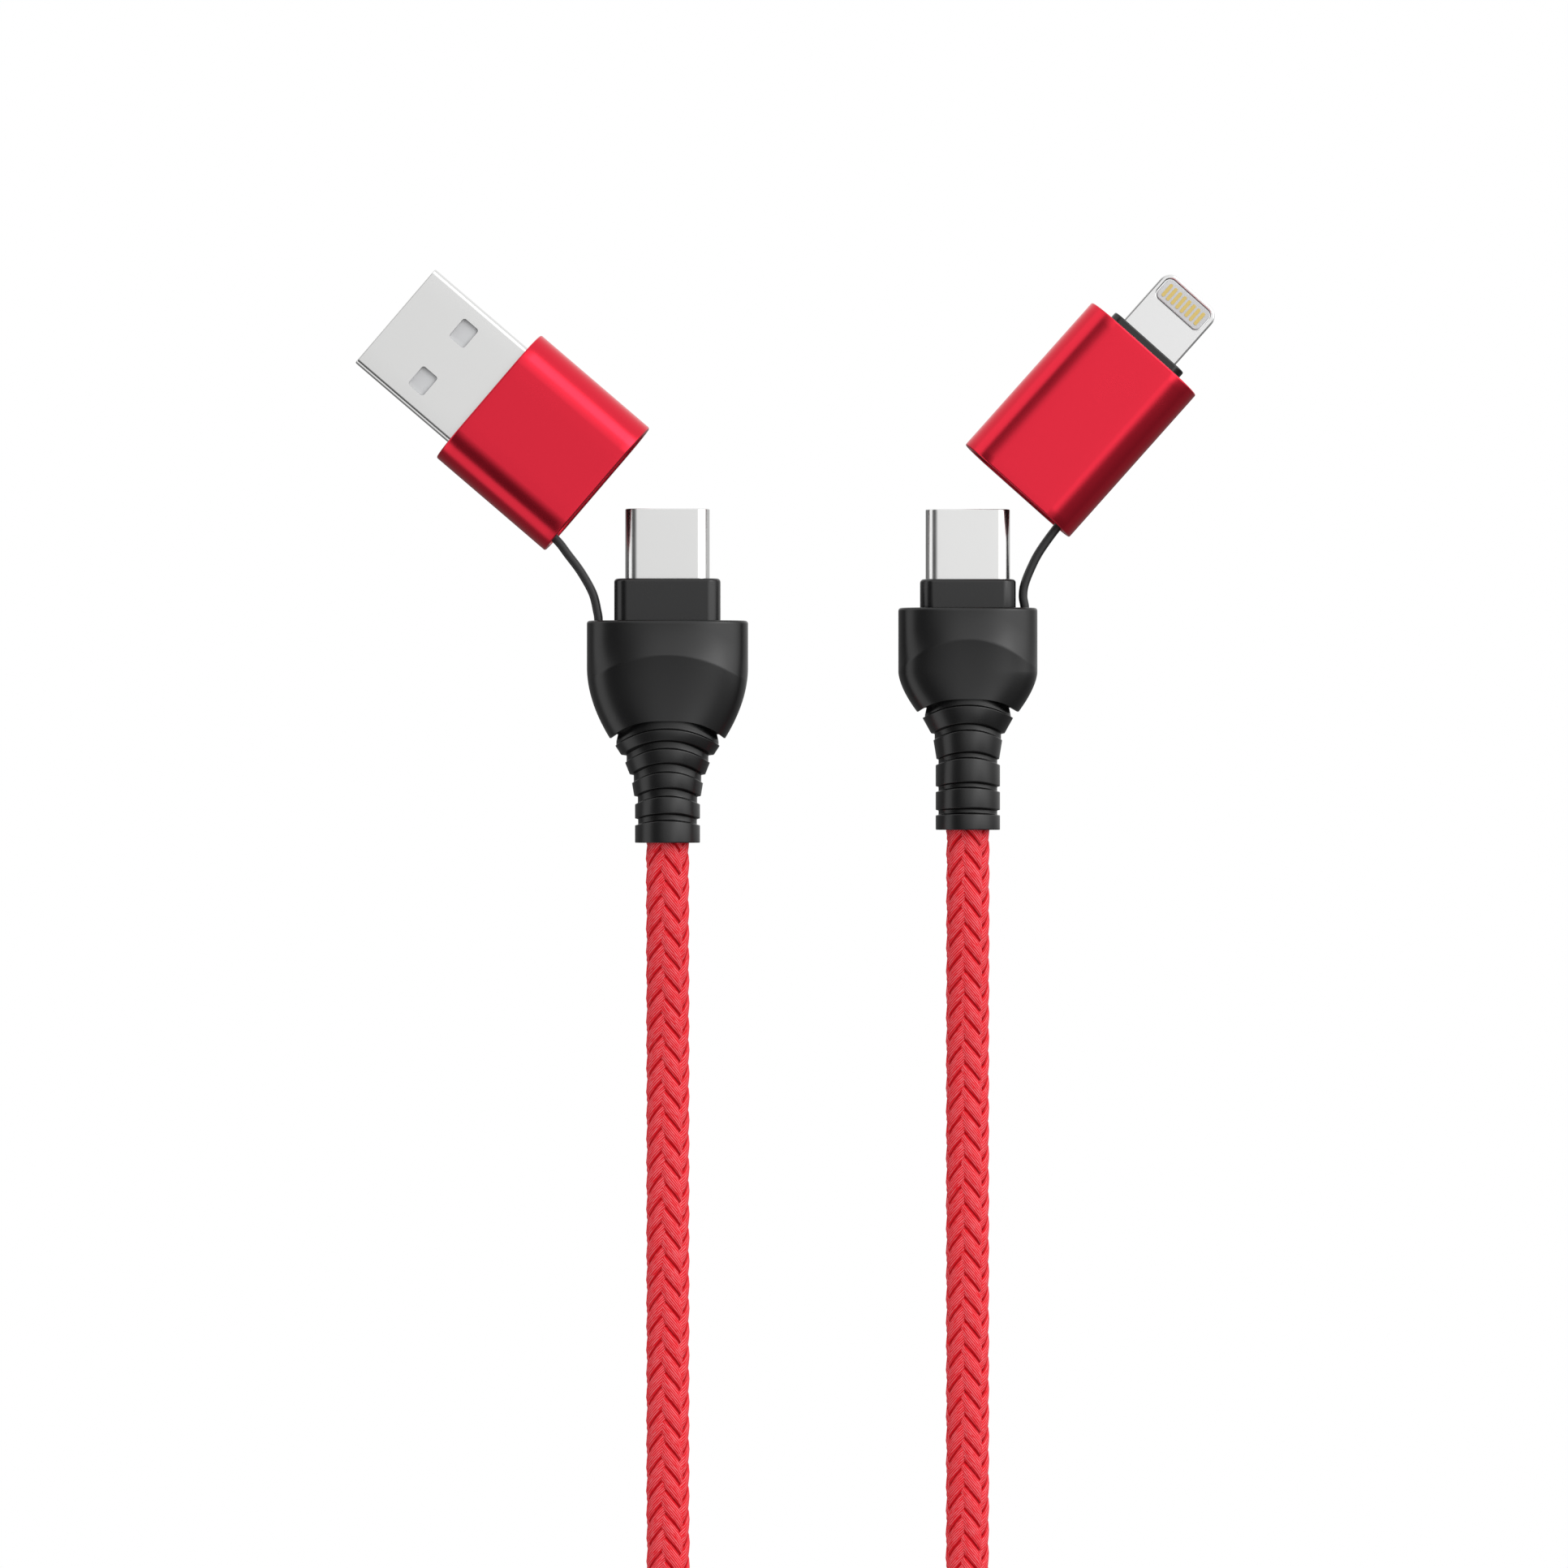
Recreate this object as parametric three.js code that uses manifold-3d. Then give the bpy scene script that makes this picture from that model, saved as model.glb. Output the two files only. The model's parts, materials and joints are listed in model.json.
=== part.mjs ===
// A two-ended charging cable: a red braided cord with a moulded head and a C plug on each end.
// Each head keeps a metal adapter on a short rubber strap: one turns the host's C plug into an
// A plug, the other turns the phone's C plug into an eight-pin plug. The cable lies on a table,
// z is up, and the origin is on the table under the middle of the heads and adapters.
// All sizes are millimetres.
import * as THREE from 'three';
import { mergeVertices } from 'three/addons/utils/BufferGeometryUtils.js';
import Module from 'manifold-3d';

const wasm = await Module();
wasm.setup();

// ---- clearances ----
const AIR = 0.3;        // between pieces that meet face to face
const FIT = 0.1;        // all round a piece in its pocket
const THIN = 0.04;      // between small stamped contacts and what holds them

// ---- the two heads, side by side ----
const HEAD_SPACING = 29.37;
const SHOULDER_STEP = 1.26;     // the phone's shoulder stands this much further along +y
const BOOT_END = 21.7;          // from a shoulder back to where the cord comes out
const STRAP_THICK = 0.85;
const STRAP_HEIGHT = 2.0;
const STRAP_ROOT = 1.8;         // how deep the strap is set into the head

// ---- the C plug, the same on both heads ----
const C_WIDTH = 8.25;
const C_HEIGHT = 2.4;
const C_WALL = 0.25;
const C_PROUD = 6.84;           // past the collar
const C_BURIED = 2.0;           // behind the shoulder
const C_SLOT_WIDTH = 6.9;
const C_SLOT_HEIGHT = 0.95;
const C_SLOT_DEPTH = 6.0;
const C_PINS = 12;
const C_PITCH = 0.5;
const SHEET = 0.1;              // thickness of the stamped contact rows
const BOARD_THICK = 0.8;

// ---- the cord ----
const CORD_D = 4.25;
const BORE_R = 1.8;             // inside the boot, round the wires
const BOOT_WIDTH = 6.36;        // over the ribs, at the cord's end
const BOOT_HEIGHT = 6.3;
const RIB_SWELL = 0.2;          // a wider rib grows in height by this share of its extra width
const GROOVE_SLOPE = 0.12;      // how far along y a groove's side runs
const SAG_REACH = 11.5;         // the grooves' bow fades over this length of boot
const SAG_LEAST = 0.12;
const WIRE_R = 0.5;
const WIRE_X = 0.62;            // each wire's distance from the axis in the boot
const COIL_PITCH = 4.35;
const COIL_R = 29.3;            // the first and widest turn's centre line
const COIL_TURNS_LOW = 3;
const COIL_TURNS_HIGH = 2.5;
const COIL_AT = [0, -112.4];
const TIE_THICK = 0.9;
const TIE_WIDTH = 9;
const TIE_LIFT = 1.1;           // the turns rise this much where they pass over the tie

// Each leg, from its boot to the coil: x, y, z from the table under the middle of the two cord
// exits. The host's leg runs into the first turn, and the phone's leg comes down off the last
// one. A leg's tube stops at its fourteenth point, because the rest lies in the coil's ring.
const HOST_LEG = [
  [-14.685, -0.93, 4.1], [-14.685, -5, 4.02], [-14.685, -10, 3.55], [-14.685, -16, 2.75],
  [-14.685, -22, 2.27], [-14.685, -29, 2.15], [-14.685, -38, 2.15], [-14.685, -47, 2.15],
  [-14.685, -56, 2.15], [-14.685, -65, 2.15], [-14.685, -72.4, 2.15], [-15.12, -77.5, 2.15],
  [-16.4, -82.4, 2.15], [-18.6, -87.4, 2.15], [-22, -92.4, 2.15],
  [-25.38, -97.4, 2.15], [-27.58, -102.4, 2.15], [-28.87, -107.3, 2.15],
];
const PHONE_LEG = [
  [14.685, 0.33, 3.75], [14.685, -5, 3.68], [14.685, -10, 3.35], [14.685, -16, 2.7],
  [14.685, -22, 2.27], [14.685, -29, 2.15], [14.685, -38, 2.15], [14.685, -47, 2.15],
  [14.685, -56, 2.15], [14.685, -65, 2.15], [14.685, -72.4, 2.15], [15.06, -77.5, 2.15],
  [16.14, -82.4, 2.2], [18.02, -87.4, 2.5], [20.9, -92.4, 3.2],
  [23.77, -97.4, 4.3], [25.66, -102.4, 5.4], [26.76, -107.3, 6.2],
];
const TUBE_POINTS = 14;

// ---- what differs between the heads, y from the shoulder towards the plug's tip ----
// A collar is the C plug and a wall of moulding, and a head is the collar and its own wall. The
// strap's points are how far out they are from its root, and y; it then enters the sleeve.
const HOST = {
  name: 'host', side: -1,
  collarWidth: C_WIDTH + 2 * 1.06, collarHeight: C_HEIGHT + 2 * 1.3, collarProud: 4.1,
  shoulderWall: 2.695, faceWall: 1.6,
  headStraight: 4.61, headEnd: 11.48, headEndWidth: 11.29,
  flankPower: 1.9, crease: 3.4, creaseFade: 1.6, headSag: 1.64,
  // each rib of the boot: y and width at its wide end, then at its narrow end
  ribs: [[12.22, 10.22, 13.11, 9.06], [13.87, 8.29, 15.02, 7.39], [15.87, 6.95, 17.14, 6.52],
    [17.94, 6.36, 19.33, 6.36], [20.0, 6.36, BOOT_END, 6.36]],
  necks: [9.3, 8.0, 6.6, 5.7, 5.65],
  stemWidth: 7.0, stemHeight: 4.6,
  strapInset: 1.14, pivotOut: 0.84, pivotAhead: 3.48, restAngle: 49.4,
  sleeveStart: 9.03, strapIn: 2.97,
  strap: [[0, -STRAP_ROOT], [0, 0], [0.13, 0.95], [0.58, 2.71], [1.71, 4.75], [2.95, 6.42]],
};
const PHONE = {
  name: 'phone', side: 1,
  collarWidth: C_WIDTH + 2 * 0.54, collarHeight: C_HEIGHT + 2 * 1.1, collarProud: 2.79,
  shoulderWall: 2.135, faceWall: 1.45,
  headStraight: 6.26, headEnd: 10.15, headEndWidth: 9.94,
  flankPower: 1.6, crease: 3.1, creaseFade: 0.9, headSag: 1.2,
  ribs: [[10.76, 8.87, 12.26, 7.2], [12.94, 6.73, 14.77, 6.14], [15.37, 6.29, 17.44, 6.29],
    [18.0, 6.29, 19.75, 6.29], [20.29, 6.29, BOOT_END, 6.29]],
  necks: [8.0, 6.5, 5.6, 5.6, 5.6],
  stemWidth: 6.2, stemHeight: 4.2,
  strapInset: 1.23, pivotOut: 0.61, pivotAhead: 3.66, restAngle: -41.7,
  sleeveStart: 8.56, strapIn: 2.31,
  strap: [[0, -STRAP_ROOT], [0, 0], [-0.17, 1.14], [0, 2.36], [0.68, 4.06], [1.53, 5.64]],
};
const HEAD_BACK_WALL = 2.5;     // of the head, round the boot's stem

// ---- the adapters, y from the sleeve's open end towards the plug's tip ----
const SLEEVE_WALL = 0.8;
const SOCKET_WIDTH = C_WIDTH + 0.65;
const SOCKET_HEIGHT = C_HEIGHT + 0.8;
const SOCKET_TONGUE = 0.7;
const SOCKET_BACK = 1.5;        // of insulator behind the socket's tongue
const MOUTH_GAP = 0.12;         // the strap is beside the sleeve's wall from here before its mouth
const A_WIDTH = 12;
const A_HEIGHT = 4.5;
const A_WALL = 0.3;
const A_PROUD = 11.94;
const A_BURIED = 2.3;
const A_WINDOW = [2.36, 1.92];
const A_WINDOW_X = 3.06;
const A_WINDOW_BACK = 6.19;     // from the tip to a window's centre
const A_PIN_X = [-3.5, -1, 1, 3.5];
const A_PIN_WIDTH = 1.1;
const A_PIN_THICK = 0.2;
const A_PIN_ENDS = [0.76, 0.6]; // of tongue behind a contact, and in front of it
const A_TONGUE_SET = 4.88;      // from the shell's back end to the tongue
const BLADE_WIDTH = 6.7;
const BLADE_HEIGHT = 1.5;
const BLADE_PROUD = 6.6;        // past the cap
const BLADE_CORNER = 1.3;
const CAP_WIDTH = BLADE_WIDTH + 2 * 1.1;
const CAP_HEIGHT = BLADE_HEIGHT + 2 * 1.05;
const CAP_PROUD = 0.8;
const CAP_BURIED = 3;
const PHONE_BOARD_LENGTH = 2.8;
const PANEL = [BLADE_WIDTH - 1.2, 2.3, 0.6];    // across, along, corner radius
const PANEL_BACK = 0.5;         // from the tip
const EIGHT = 8;
const EIGHT_PITCH = 0.6;
const EIGHT_PIN = [0.35, 1.5];
const pocketDepth = (end) => end.collarProud + (end === HOST ? 0.2 : AIR);
const socketBackOf = (end) => pocketDepth(end) + C_PROUD + AIR + SOCKET_BACK;
const HOST_SLEEVE = {
  width: A_WIDTH + 2 * 1.87, height: HOST.collarHeight + 2 * 1.45, radius: 3.6, length: 13.96,
};
// The phone's sleeve is as long as its socket, board and cap behind one another.
const PHONE_SLEEVE = {
  width: CAP_WIDTH + 2 * 2.35, height: PHONE.collarHeight + 2 * 1.2, radius: 3.3,
  length: socketBackOf(PHONE) + AIR + PHONE_BOARD_LENGTH + AIR + 0.5 + CAP_BURIED,
};

// ---- finishes ----
const finish = (color, roughness, metalness) =>
  new THREE.MeshStandardMaterial({ color, roughness, metalness });
const BLACK = finish(0x26262a, 0.42, 0);
const BLACK_SATIN = finish(0x1c1c1e, 0.3, 0);
const RED_METAL = finish(0xd62b3e, 0.3, 0.85);
const STEEL = finish(0xd8d8d8, 0.28, 1);
const GOLD = finish(0xcdb469, 0.3, 1);
const BOARD = finish(0x1f5b3a, 0.6, 0);
const BRAID = finish(0xe12834, 0.8, 0);
const RUBBER = finish(0x232324, 0.55, 0);
const WHITE = finish(0xdddfe2, 0.5, 0);
const WIRES = { power: finish(0xc02222, 0.5, 0), data: finish(0x2a8a45, 0.5, 0) };

// ---- places that the sizes above settle, in a head's own frame ----
for (const end of [HOST, PHONE]) {
  end.headWidth = end.collarWidth + 2 * end.shoulderWall;
  end.headHeight = end.collarHeight + 2 * end.faceWall;
  end.sleeve = end === HOST ? HOST_SLEEVE : PHONE_SLEEVE;
  const root = end.headWidth / 2 - end.strapInset;
  end.pivot = [end.side * (root + end.pivotOut), end.pivotAhead];
  end.sleeveOffset = [-end.pivot[0], end.sleeveStart - end.pivotAhead];
  const beside = end.sleeve.width / 2 - SLEEVE_WALL - AIR - STRAP_THICK / 2;
  const turn = THREE.MathUtils.degToRad(end.restAngle);
  const inSleeve = (y) => new THREE.Vector2(end.side * beside, y)
    .add(new THREE.Vector2(...end.sleeveOffset))
    .rotateAround(new THREE.Vector2(), turn)
    .add(new THREE.Vector2(...end.pivot)).toArray();
  end.strap = [...end.strap.map(([out, y]) => [end.side * (root + out), y]),
    inSleeve(-MOUTH_GAP), inSleeve(end.strapIn)];
}

// ---- shapes ----
function roundedRectangle(width, height, radius, x = 0, y = 0) {
  const shape = new THREE.Shape();
  const r = Math.min(radius, width / 2 - 1e-3, height / 2 - 1e-3);
  const right = x + width / 2;
  const top = y + height / 2;
  const left = x - width / 2;
  const bottom = y - height / 2;
  shape.moveTo(left + r, bottom);
  shape.lineTo(right - r, bottom);
  shape.absarc(right - r, bottom + r, r, -Math.PI / 2, 0);
  shape.lineTo(right, top - r);
  shape.absarc(right - r, top - r, r, 0, Math.PI / 2);
  shape.lineTo(left + r, top);
  shape.absarc(left + r, top - r, r, Math.PI / 2, Math.PI);
  shape.lineTo(left, bottom + r);
  shape.absarc(left + r, bottom + r, r, Math.PI, 1.5 * Math.PI);
  return shape;
}

// A section in x and z, carried along y.
function alongY(shape, from, to, curveSegments = 5) {
  const geometry = new THREE.ExtrudeGeometry(shape,
    { depth: to - from, bevelEnabled: false, curveSegments });
  return geometry.rotateX(-Math.PI / 2).translate(0, from, 0);
}

// A plan outline in x and y, with a thickness about the height z.
function plate(shape, thickness, z = 0, curveSegments = 4) {
  const geometry = new THREE.ExtrudeGeometry(shape,
    { depth: thickness, bevelEnabled: false, curveSegments });
  return geometry.translate(0, 0, z - thickness / 2);
}

function block(width, length, thickness, x, y, z) {
  return new THREE.BoxGeometry(width, length, thickness).translate(x, y, z);
}

const pillAlongY = (width, height, radius, from, to) =>
  alongY(roundedRectangle(width, height, radius), from, to);

// A skin over closed rings of equal count, ordered along +y, with a flat fan on each end.
function loft(rings) {
  const count = rings[0].length;
  const positions = rings.flat(2);
  const faces = [];
  for (let i = 0; i + 1 < rings.length; i++) {
    for (let j = 0; j < count; j++) {
      const a = i * count + j;
      const b = i * count + (j + 1) % count;
      faces.push(a, a + count, b + count, a, b + count, b);
    }
  }
  const middle = (ring) => [0, 1, 2].map((k) => ring.reduce((sum, p) => sum + p[k], 0) / count);
  const first = rings.length * count;
  positions.push(...middle(rings[0]), ...middle(rings[rings.length - 1]));
  const lastRing = first - count;
  for (let j = 0; j < count; j++) {
    const next = (j + 1) % count;
    faces.push(first, j, next, first + 1, lastRing + next, lastRing + j);
  }
  const geometry = new THREE.BufferGeometry();
  geometry.setAttribute('position', new THREE.Float32BufferAttribute(positions, 3));
  geometry.setIndex(faces);
  return geometry;
}

// A rounded section at y. Its middle is carried towards +y by the sag, as a moulding's grooves are.
function ring(y, halfWidth, halfHeight, sag, power, count = 20) {
  const points = [];
  for (let j = 0; j < count; j++) {
    const turn = 2 * Math.PI * j / count;
    const c = Math.cos(turn);
    const s = Math.sin(turn);
    points.push([
      halfWidth * Math.sign(c) * Math.abs(c) ** (2 / power),
      y + sag * s * s,
      halfHeight * Math.sign(s) * Math.abs(s) ** (2 / power),
    ]);
  }
  return points;
}

// ---- joins and cuts ----
function toSolid(geometry) {
  const bare = geometry.clone();
  bare.deleteAttribute('normal');
  bare.deleteAttribute('uv');
  const merged = mergeVertices(bare, 1e-5);
  return new wasm.Manifold(new wasm.Mesh({
    numProp: 3,
    vertProperties: new Float32Array(merged.attributes.position.array),
    triVerts: new Uint32Array(merged.index.array),
  }));
}

function toGeometry(solid) {
  const mesh = solid.getMesh();
  const geometry = new THREE.BufferGeometry();
  geometry.setAttribute('position', new THREE.BufferAttribute(mesh.vertProperties, 3));
  geometry.setIndex(new THREE.BufferAttribute(mesh.triVerts, 1));
  return geometry;
}

const cut = (geometry, ...tools) => toGeometry(
  tools.reduce((solid, tool) => solid.subtract(toSolid(tool)), toSolid(geometry)));
const join = (geometry, ...others) => toGeometry(
  others.reduce((solid, other) => solid.add(toSolid(other)), toSolid(geometry)));

function addPiece(group, name, geometry, material) {
  const mesh = new THREE.Mesh(geometry, material);
  mesh.name = name;
  group.add(mesh);
}

// ---- the head ----
// The flank is straight, then closes in by a power curve to the end that the boot comes out of.
function headGeometry(end) {
  const rings = [];
  const flankSteps = 6;
  const flank = end.headEnd - end.headStraight;
  const half = end.headWidth / 2;
  const endHalf = end.headEndWidth / 2;
  const crest = end.headHeight / 2;
  for (let i = 0; i <= flankSteps; i++) {
    const u = 1 - i / flankSteps;
    const y = -end.headStraight - flank * u;
    const halfWidth = half - (half - endHalf) * u ** end.flankPower;
    rings.push(ring(y, halfWidth, crest * (1 - 0.16 * u * u), end.headSag * u, 3));
  }
  const face = crest * 0.93;      // above the crease the faces are a little lower
  rings.push(ring(-end.crease - 0.2, half, crest, 0, 3.4));
  rings.push(ring(-end.crease + end.creaseFade / 2, half, face, 0, 3.6));
  rings.push(ring(-0.35, half, face, 0, 4));
  rings.push(ring(0, half - 0.25, face - 0.25, 0, 4));
  const pocketBack = -end.headEnd + HEAD_BACK_WALL;
  const pocket = pillAlongY(end.collarWidth + 2 * FIT, end.collarHeight + 2 * FIT, 1.3,
    pocketBack, 1);
  const stemHole = pillAlongY(end.stemWidth + 2 * FIT, end.stemHeight + 2 * FIT, 2,
    -end.headEnd - 3, pocketBack + 0.5);
  const strapHole = block(STRAP_THICK + 2 * FIT, STRAP_ROOT + AIR + 1, STRAP_HEIGHT + 2 * FIT,
    end.strap[0][0], (1 - STRAP_ROOT - AIR) / 2, 0);
  return cut(loft(rings), pocket, stemHole, strapHole);
}

// Five ribs with grooves between them, on a stem that is held in the head.
function bootGeometry(end) {
  const heightOf = (width) => (BOOT_HEIGHT + (width - BOOT_WIDTH) * RIB_SWELL) / 2;
  const sagAt = (y) => end.headSag * Math.max(SAG_LEAST, 1 - (y - end.headEnd) / SAG_REACH);
  const rings = [];
  const addRing = (y, width) =>
    rings.unshift(ring(-y, width / 2, heightOf(width), sagAt(y), 2.2));
  end.ribs.forEach(([wideY, wide, narrowY, narrow], i) => {
    const before = i === 0 ? end.headEnd + AIR : end.ribs[i - 1][2] + GROOVE_SLOPE;
    addRing(before, end.necks[i]);
    addRing(wideY - GROOVE_SLOPE, end.necks[i]);
    addRing(wideY, wide);
    addRing(narrowY, narrow);
  });
  const skin = loft(rings);
  const stemTop = -end.headEnd + HEAD_BACK_WALL - FIT;
  const stem = pillAlongY(end.stemWidth, end.stemHeight, 1.9, -end.headEnd - 2, stemTop);
  const bore = new THREE.CylinderGeometry(BORE_R, BORE_R, BOOT_END + 10, 16)
    .translate(0, -BOOT_END / 2 - 5, 0);
  return cut(join(skin, stem), bore);
}

function collarGeometry(end) {
  const back = -C_BURIED - AIR;
  const body = pillAlongY(end.collarWidth, end.collarHeight, 1.2, back, end.collarProud);
  const hole = pillAlongY(C_WIDTH + 2 * FIT, C_HEIGHT + 2 * FIT, C_HEIGHT, back - 1,
    end.collarProud + 1);
  return cut(body, hole);
}

// A row of spring contacts on one carrier strip.
function contactRow(from, to, pins, pitch, pinWidth, z) {
  const carrier = 0.4;
  const width = (pins - 1) * pitch + pinWidth;
  const outline = new THREE.Shape();
  outline.moveTo(-width / 2, from);
  outline.lineTo(width / 2, from);
  for (let i = pins - 1; i >= 0; i--) {
    const x = (i - (pins - 1) / 2) * pitch;
    outline.lineTo(x + pinWidth / 2, to);
    outline.lineTo(x - pinWidth / 2, to);
    if (i > 0) {
      outline.lineTo(x - pinWidth / 2, from + carrier);
      outline.lineTo(x - pitch + pinWidth / 2, from + carrier);
    }
  }
  return plate(outline, SHEET, z);
}

// The latch plate between the contact rows: a bar with a spring arm along each side of the slot.
function latchGeometry(from, to) {
  const half = C_SLOT_WIDTH / 2 - FIT;
  const arm = 0.22;
  const outline = new THREE.Shape();
  [[-half, from], [half, from], [half, to], [half - arm, to], [half - arm, from + 0.5],
    [arm - half, from + 0.5], [arm - half, to], [-half, to]]
    .forEach(([x, y], i) => (i === 0 ? outline.moveTo(x, y) : outline.lineTo(x, y)));
  return plate(outline, 0.4);
}

function addPlug(group, end) {
  const tip = end.collarProud + C_PROUD;
  const name = (piece) => `${end.name}_c_${piece}`;
  const inner = [C_WIDTH - 2 * C_WALL, C_HEIGHT - 2 * C_WALL];
  addPiece(group, name('shell'), cut(
    pillAlongY(C_WIDTH, C_HEIGHT, C_HEIGHT, -C_BURIED, tip),
    pillAlongY(inner[0], inner[1], C_HEIGHT, -C_BURIED - 1, tip + 1)), STEEL);
  const insertTip = tip - 0.25;
  const slotBack = tip - C_SLOT_DEPTH;
  addPiece(group, name('insert'), cut(
    pillAlongY(inner[0] - 2 * FIT, inner[1] - 2 * FIT, C_HEIGHT, -C_BURIED, insertTip),
    pillAlongY(C_SLOT_WIDTH, C_SLOT_HEIGHT, 0.2, slotBack, tip)), BLACK);
  const rowZ = C_SLOT_HEIGHT / 2 - SHEET / 2 - THIN;
  for (const [label, z] of [['upper', rowZ], ['lower', -rowZ]]) {
    addPiece(group, name(`contacts_${label}`),
      contactRow(slotBack + AIR, insertTip - 0.6, C_PINS, C_PITCH, 0.26, z), GOLD);
  }
  addPiece(group, name('latch_plate'), latchGeometry(slotBack + AIR, insertTip - 1), STEEL);
}

function addWires(group, end, boardBack) {
  for (const [label, side] of [['power', -1], ['data', 1]]) {
    const path = new THREE.CatmullRomCurve3([
      [1.6, boardBack + 1.6, 1.1], [1.3, boardBack + 0.2, 0.9], [0.85, boardBack - 1.3, 0.35],
      [WIRE_X, boardBack - 3, 0], [WIRE_X, -BOOT_END + 3, 0], [WIRE_X, -BOOT_END + AIR, 0],
    ].map(([x, y, z]) => new THREE.Vector3(side * x, y, z)));
    const section = new THREE.Shape(new THREE.EllipseCurve(0, 0, WIRE_R, WIRE_R).getPoints(8)
      .slice(0, 8));
    addPiece(group, `${end.name}_wire_${label}`, new THREE.ExtrudeGeometry(section,
      { extrudePath: path, steps: 12, bevelEnabled: false }), WIRES[label]);
  }
}

function addHead(end) {
  const group = new THREE.Group();
  group.position.set(end.side * HEAD_SPACING / 2, end.side * SHOULDER_STEP / 2,
    end.headHeight / 2);
  const name = (piece) => `${end.name}_${piece}`;
  addPiece(group, name('head_cover'), headGeometry(end), BLACK);
  addPiece(group, name('strain_relief'), bootGeometry(end), BLACK);
  addPiece(group, name('collar'), collarGeometry(end), BLACK_SATIN);
  addPlug(group, end);
  const boardBack = -end.headEnd + HEAD_BACK_WALL + AIR + 0.2;
  const boardFront = -C_BURIED - 2 * AIR;
  addPiece(group, name('board'), block(C_WIDTH - 0.85, boardFront - boardBack, BOARD_THICK, 0,
    (boardFront + boardBack) / 2, -0.2), BOARD);
  addWires(group, end, boardBack);
  const crimp = [[1.3, -1.5], [1.65, -1.5], [1.65, 1.5], [1.3, 1.5], [1.3, -1.5]]
    .map(([r, y]) => new THREE.Vector2(r, y));
  addPiece(group, name('crimp'),
    new THREE.LatheGeometry(crimp, 20).translate(0, -end.headEnd - 4, 0), STEEL);
  addPiece(group, name('strap'), strapGeometry(end), RUBBER);
  return group;
}

// The strap is a flat rubber band on edge, so its plan is the centre line with a thickness.
function strapGeometry(end) {
  const path = new THREE.CatmullRomCurve3(end.strap.map(([x, y]) => new THREE.Vector3(x, y, 0)));
  const steps = 18;
  const left = [];
  const right = [];
  for (let i = 0; i <= steps; i++) {
    const point = path.getPointAt(i / steps);
    const along = path.getTangentAt(i / steps);
    const offset = new THREE.Vector2(-along.y, along.x).multiplyScalar(STRAP_THICK / 2);
    left.push(new THREE.Vector2(point.x + offset.x, point.y + offset.y));
    right.unshift(new THREE.Vector2(point.x - offset.x, point.y - offset.y));
  }
  return plate(new THREE.Shape([...right.reverse(), ...left.reverse()]), STRAP_HEIGHT);
}

// ---- the adapters ----
function sleeveGeometry(sleeve, frontHole) {
  const { width, height, radius, length } = sleeve;
  const shrink = 2 * SLEEVE_WALL;
  return cut(pillAlongY(width, height, radius, 0, length),
    pillAlongY(width - shrink, height - shrink, radius - SLEEVE_WALL, -1, length - SLEEVE_WALL),
    frontHole);
}

function addSocket(group, prefix, mouth, tongueBack) {
  const back = tongueBack + SOCKET_BACK;
  addPiece(group, `${prefix}_socket_shell`, cut(
    pillAlongY(SOCKET_WIDTH, SOCKET_HEIGHT, SOCKET_HEIGHT, mouth, back),
    pillAlongY(SOCKET_WIDTH - 2 * C_WALL, SOCKET_HEIGHT - 2 * C_WALL, SOCKET_HEIGHT,
      mouth - 1, back + 1)), STEEL);
  const base = pillAlongY(SOCKET_WIDTH - 2 * C_WALL - 2 * FIT,
    SOCKET_HEIGHT - 2 * C_WALL - 2 * FIT, SOCKET_HEIGHT, tongueBack, back - FIT);
  const tongue = block(6.7, tongueBack + 0.5 - mouth - 0.8, SOCKET_TONGUE, 0,
    (mouth + 0.8 + tongueBack + 0.5) / 2, 0);
  addPiece(group, `${prefix}_socket_tongue`, join(base, tongue), BLACK);
  return back;
}

function coreBody(sleeve, from, socketBack) {
  const shrink = 2 * SLEEVE_WALL + 2 * FIT;
  const to = sleeve.length - SLEEVE_WALL - FIT;
  return {
    to,
    block: pillAlongY(sleeve.width - shrink, sleeve.height - shrink,
      sleeve.radius - SLEEVE_WALL - FIT, from, to),
    socketHole: pillAlongY(SOCKET_WIDTH + 2 * FIT, SOCKET_HEIGHT + 2 * FIT, SOCKET_HEIGHT,
      from - 1, socketBack),
  };
}

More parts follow.
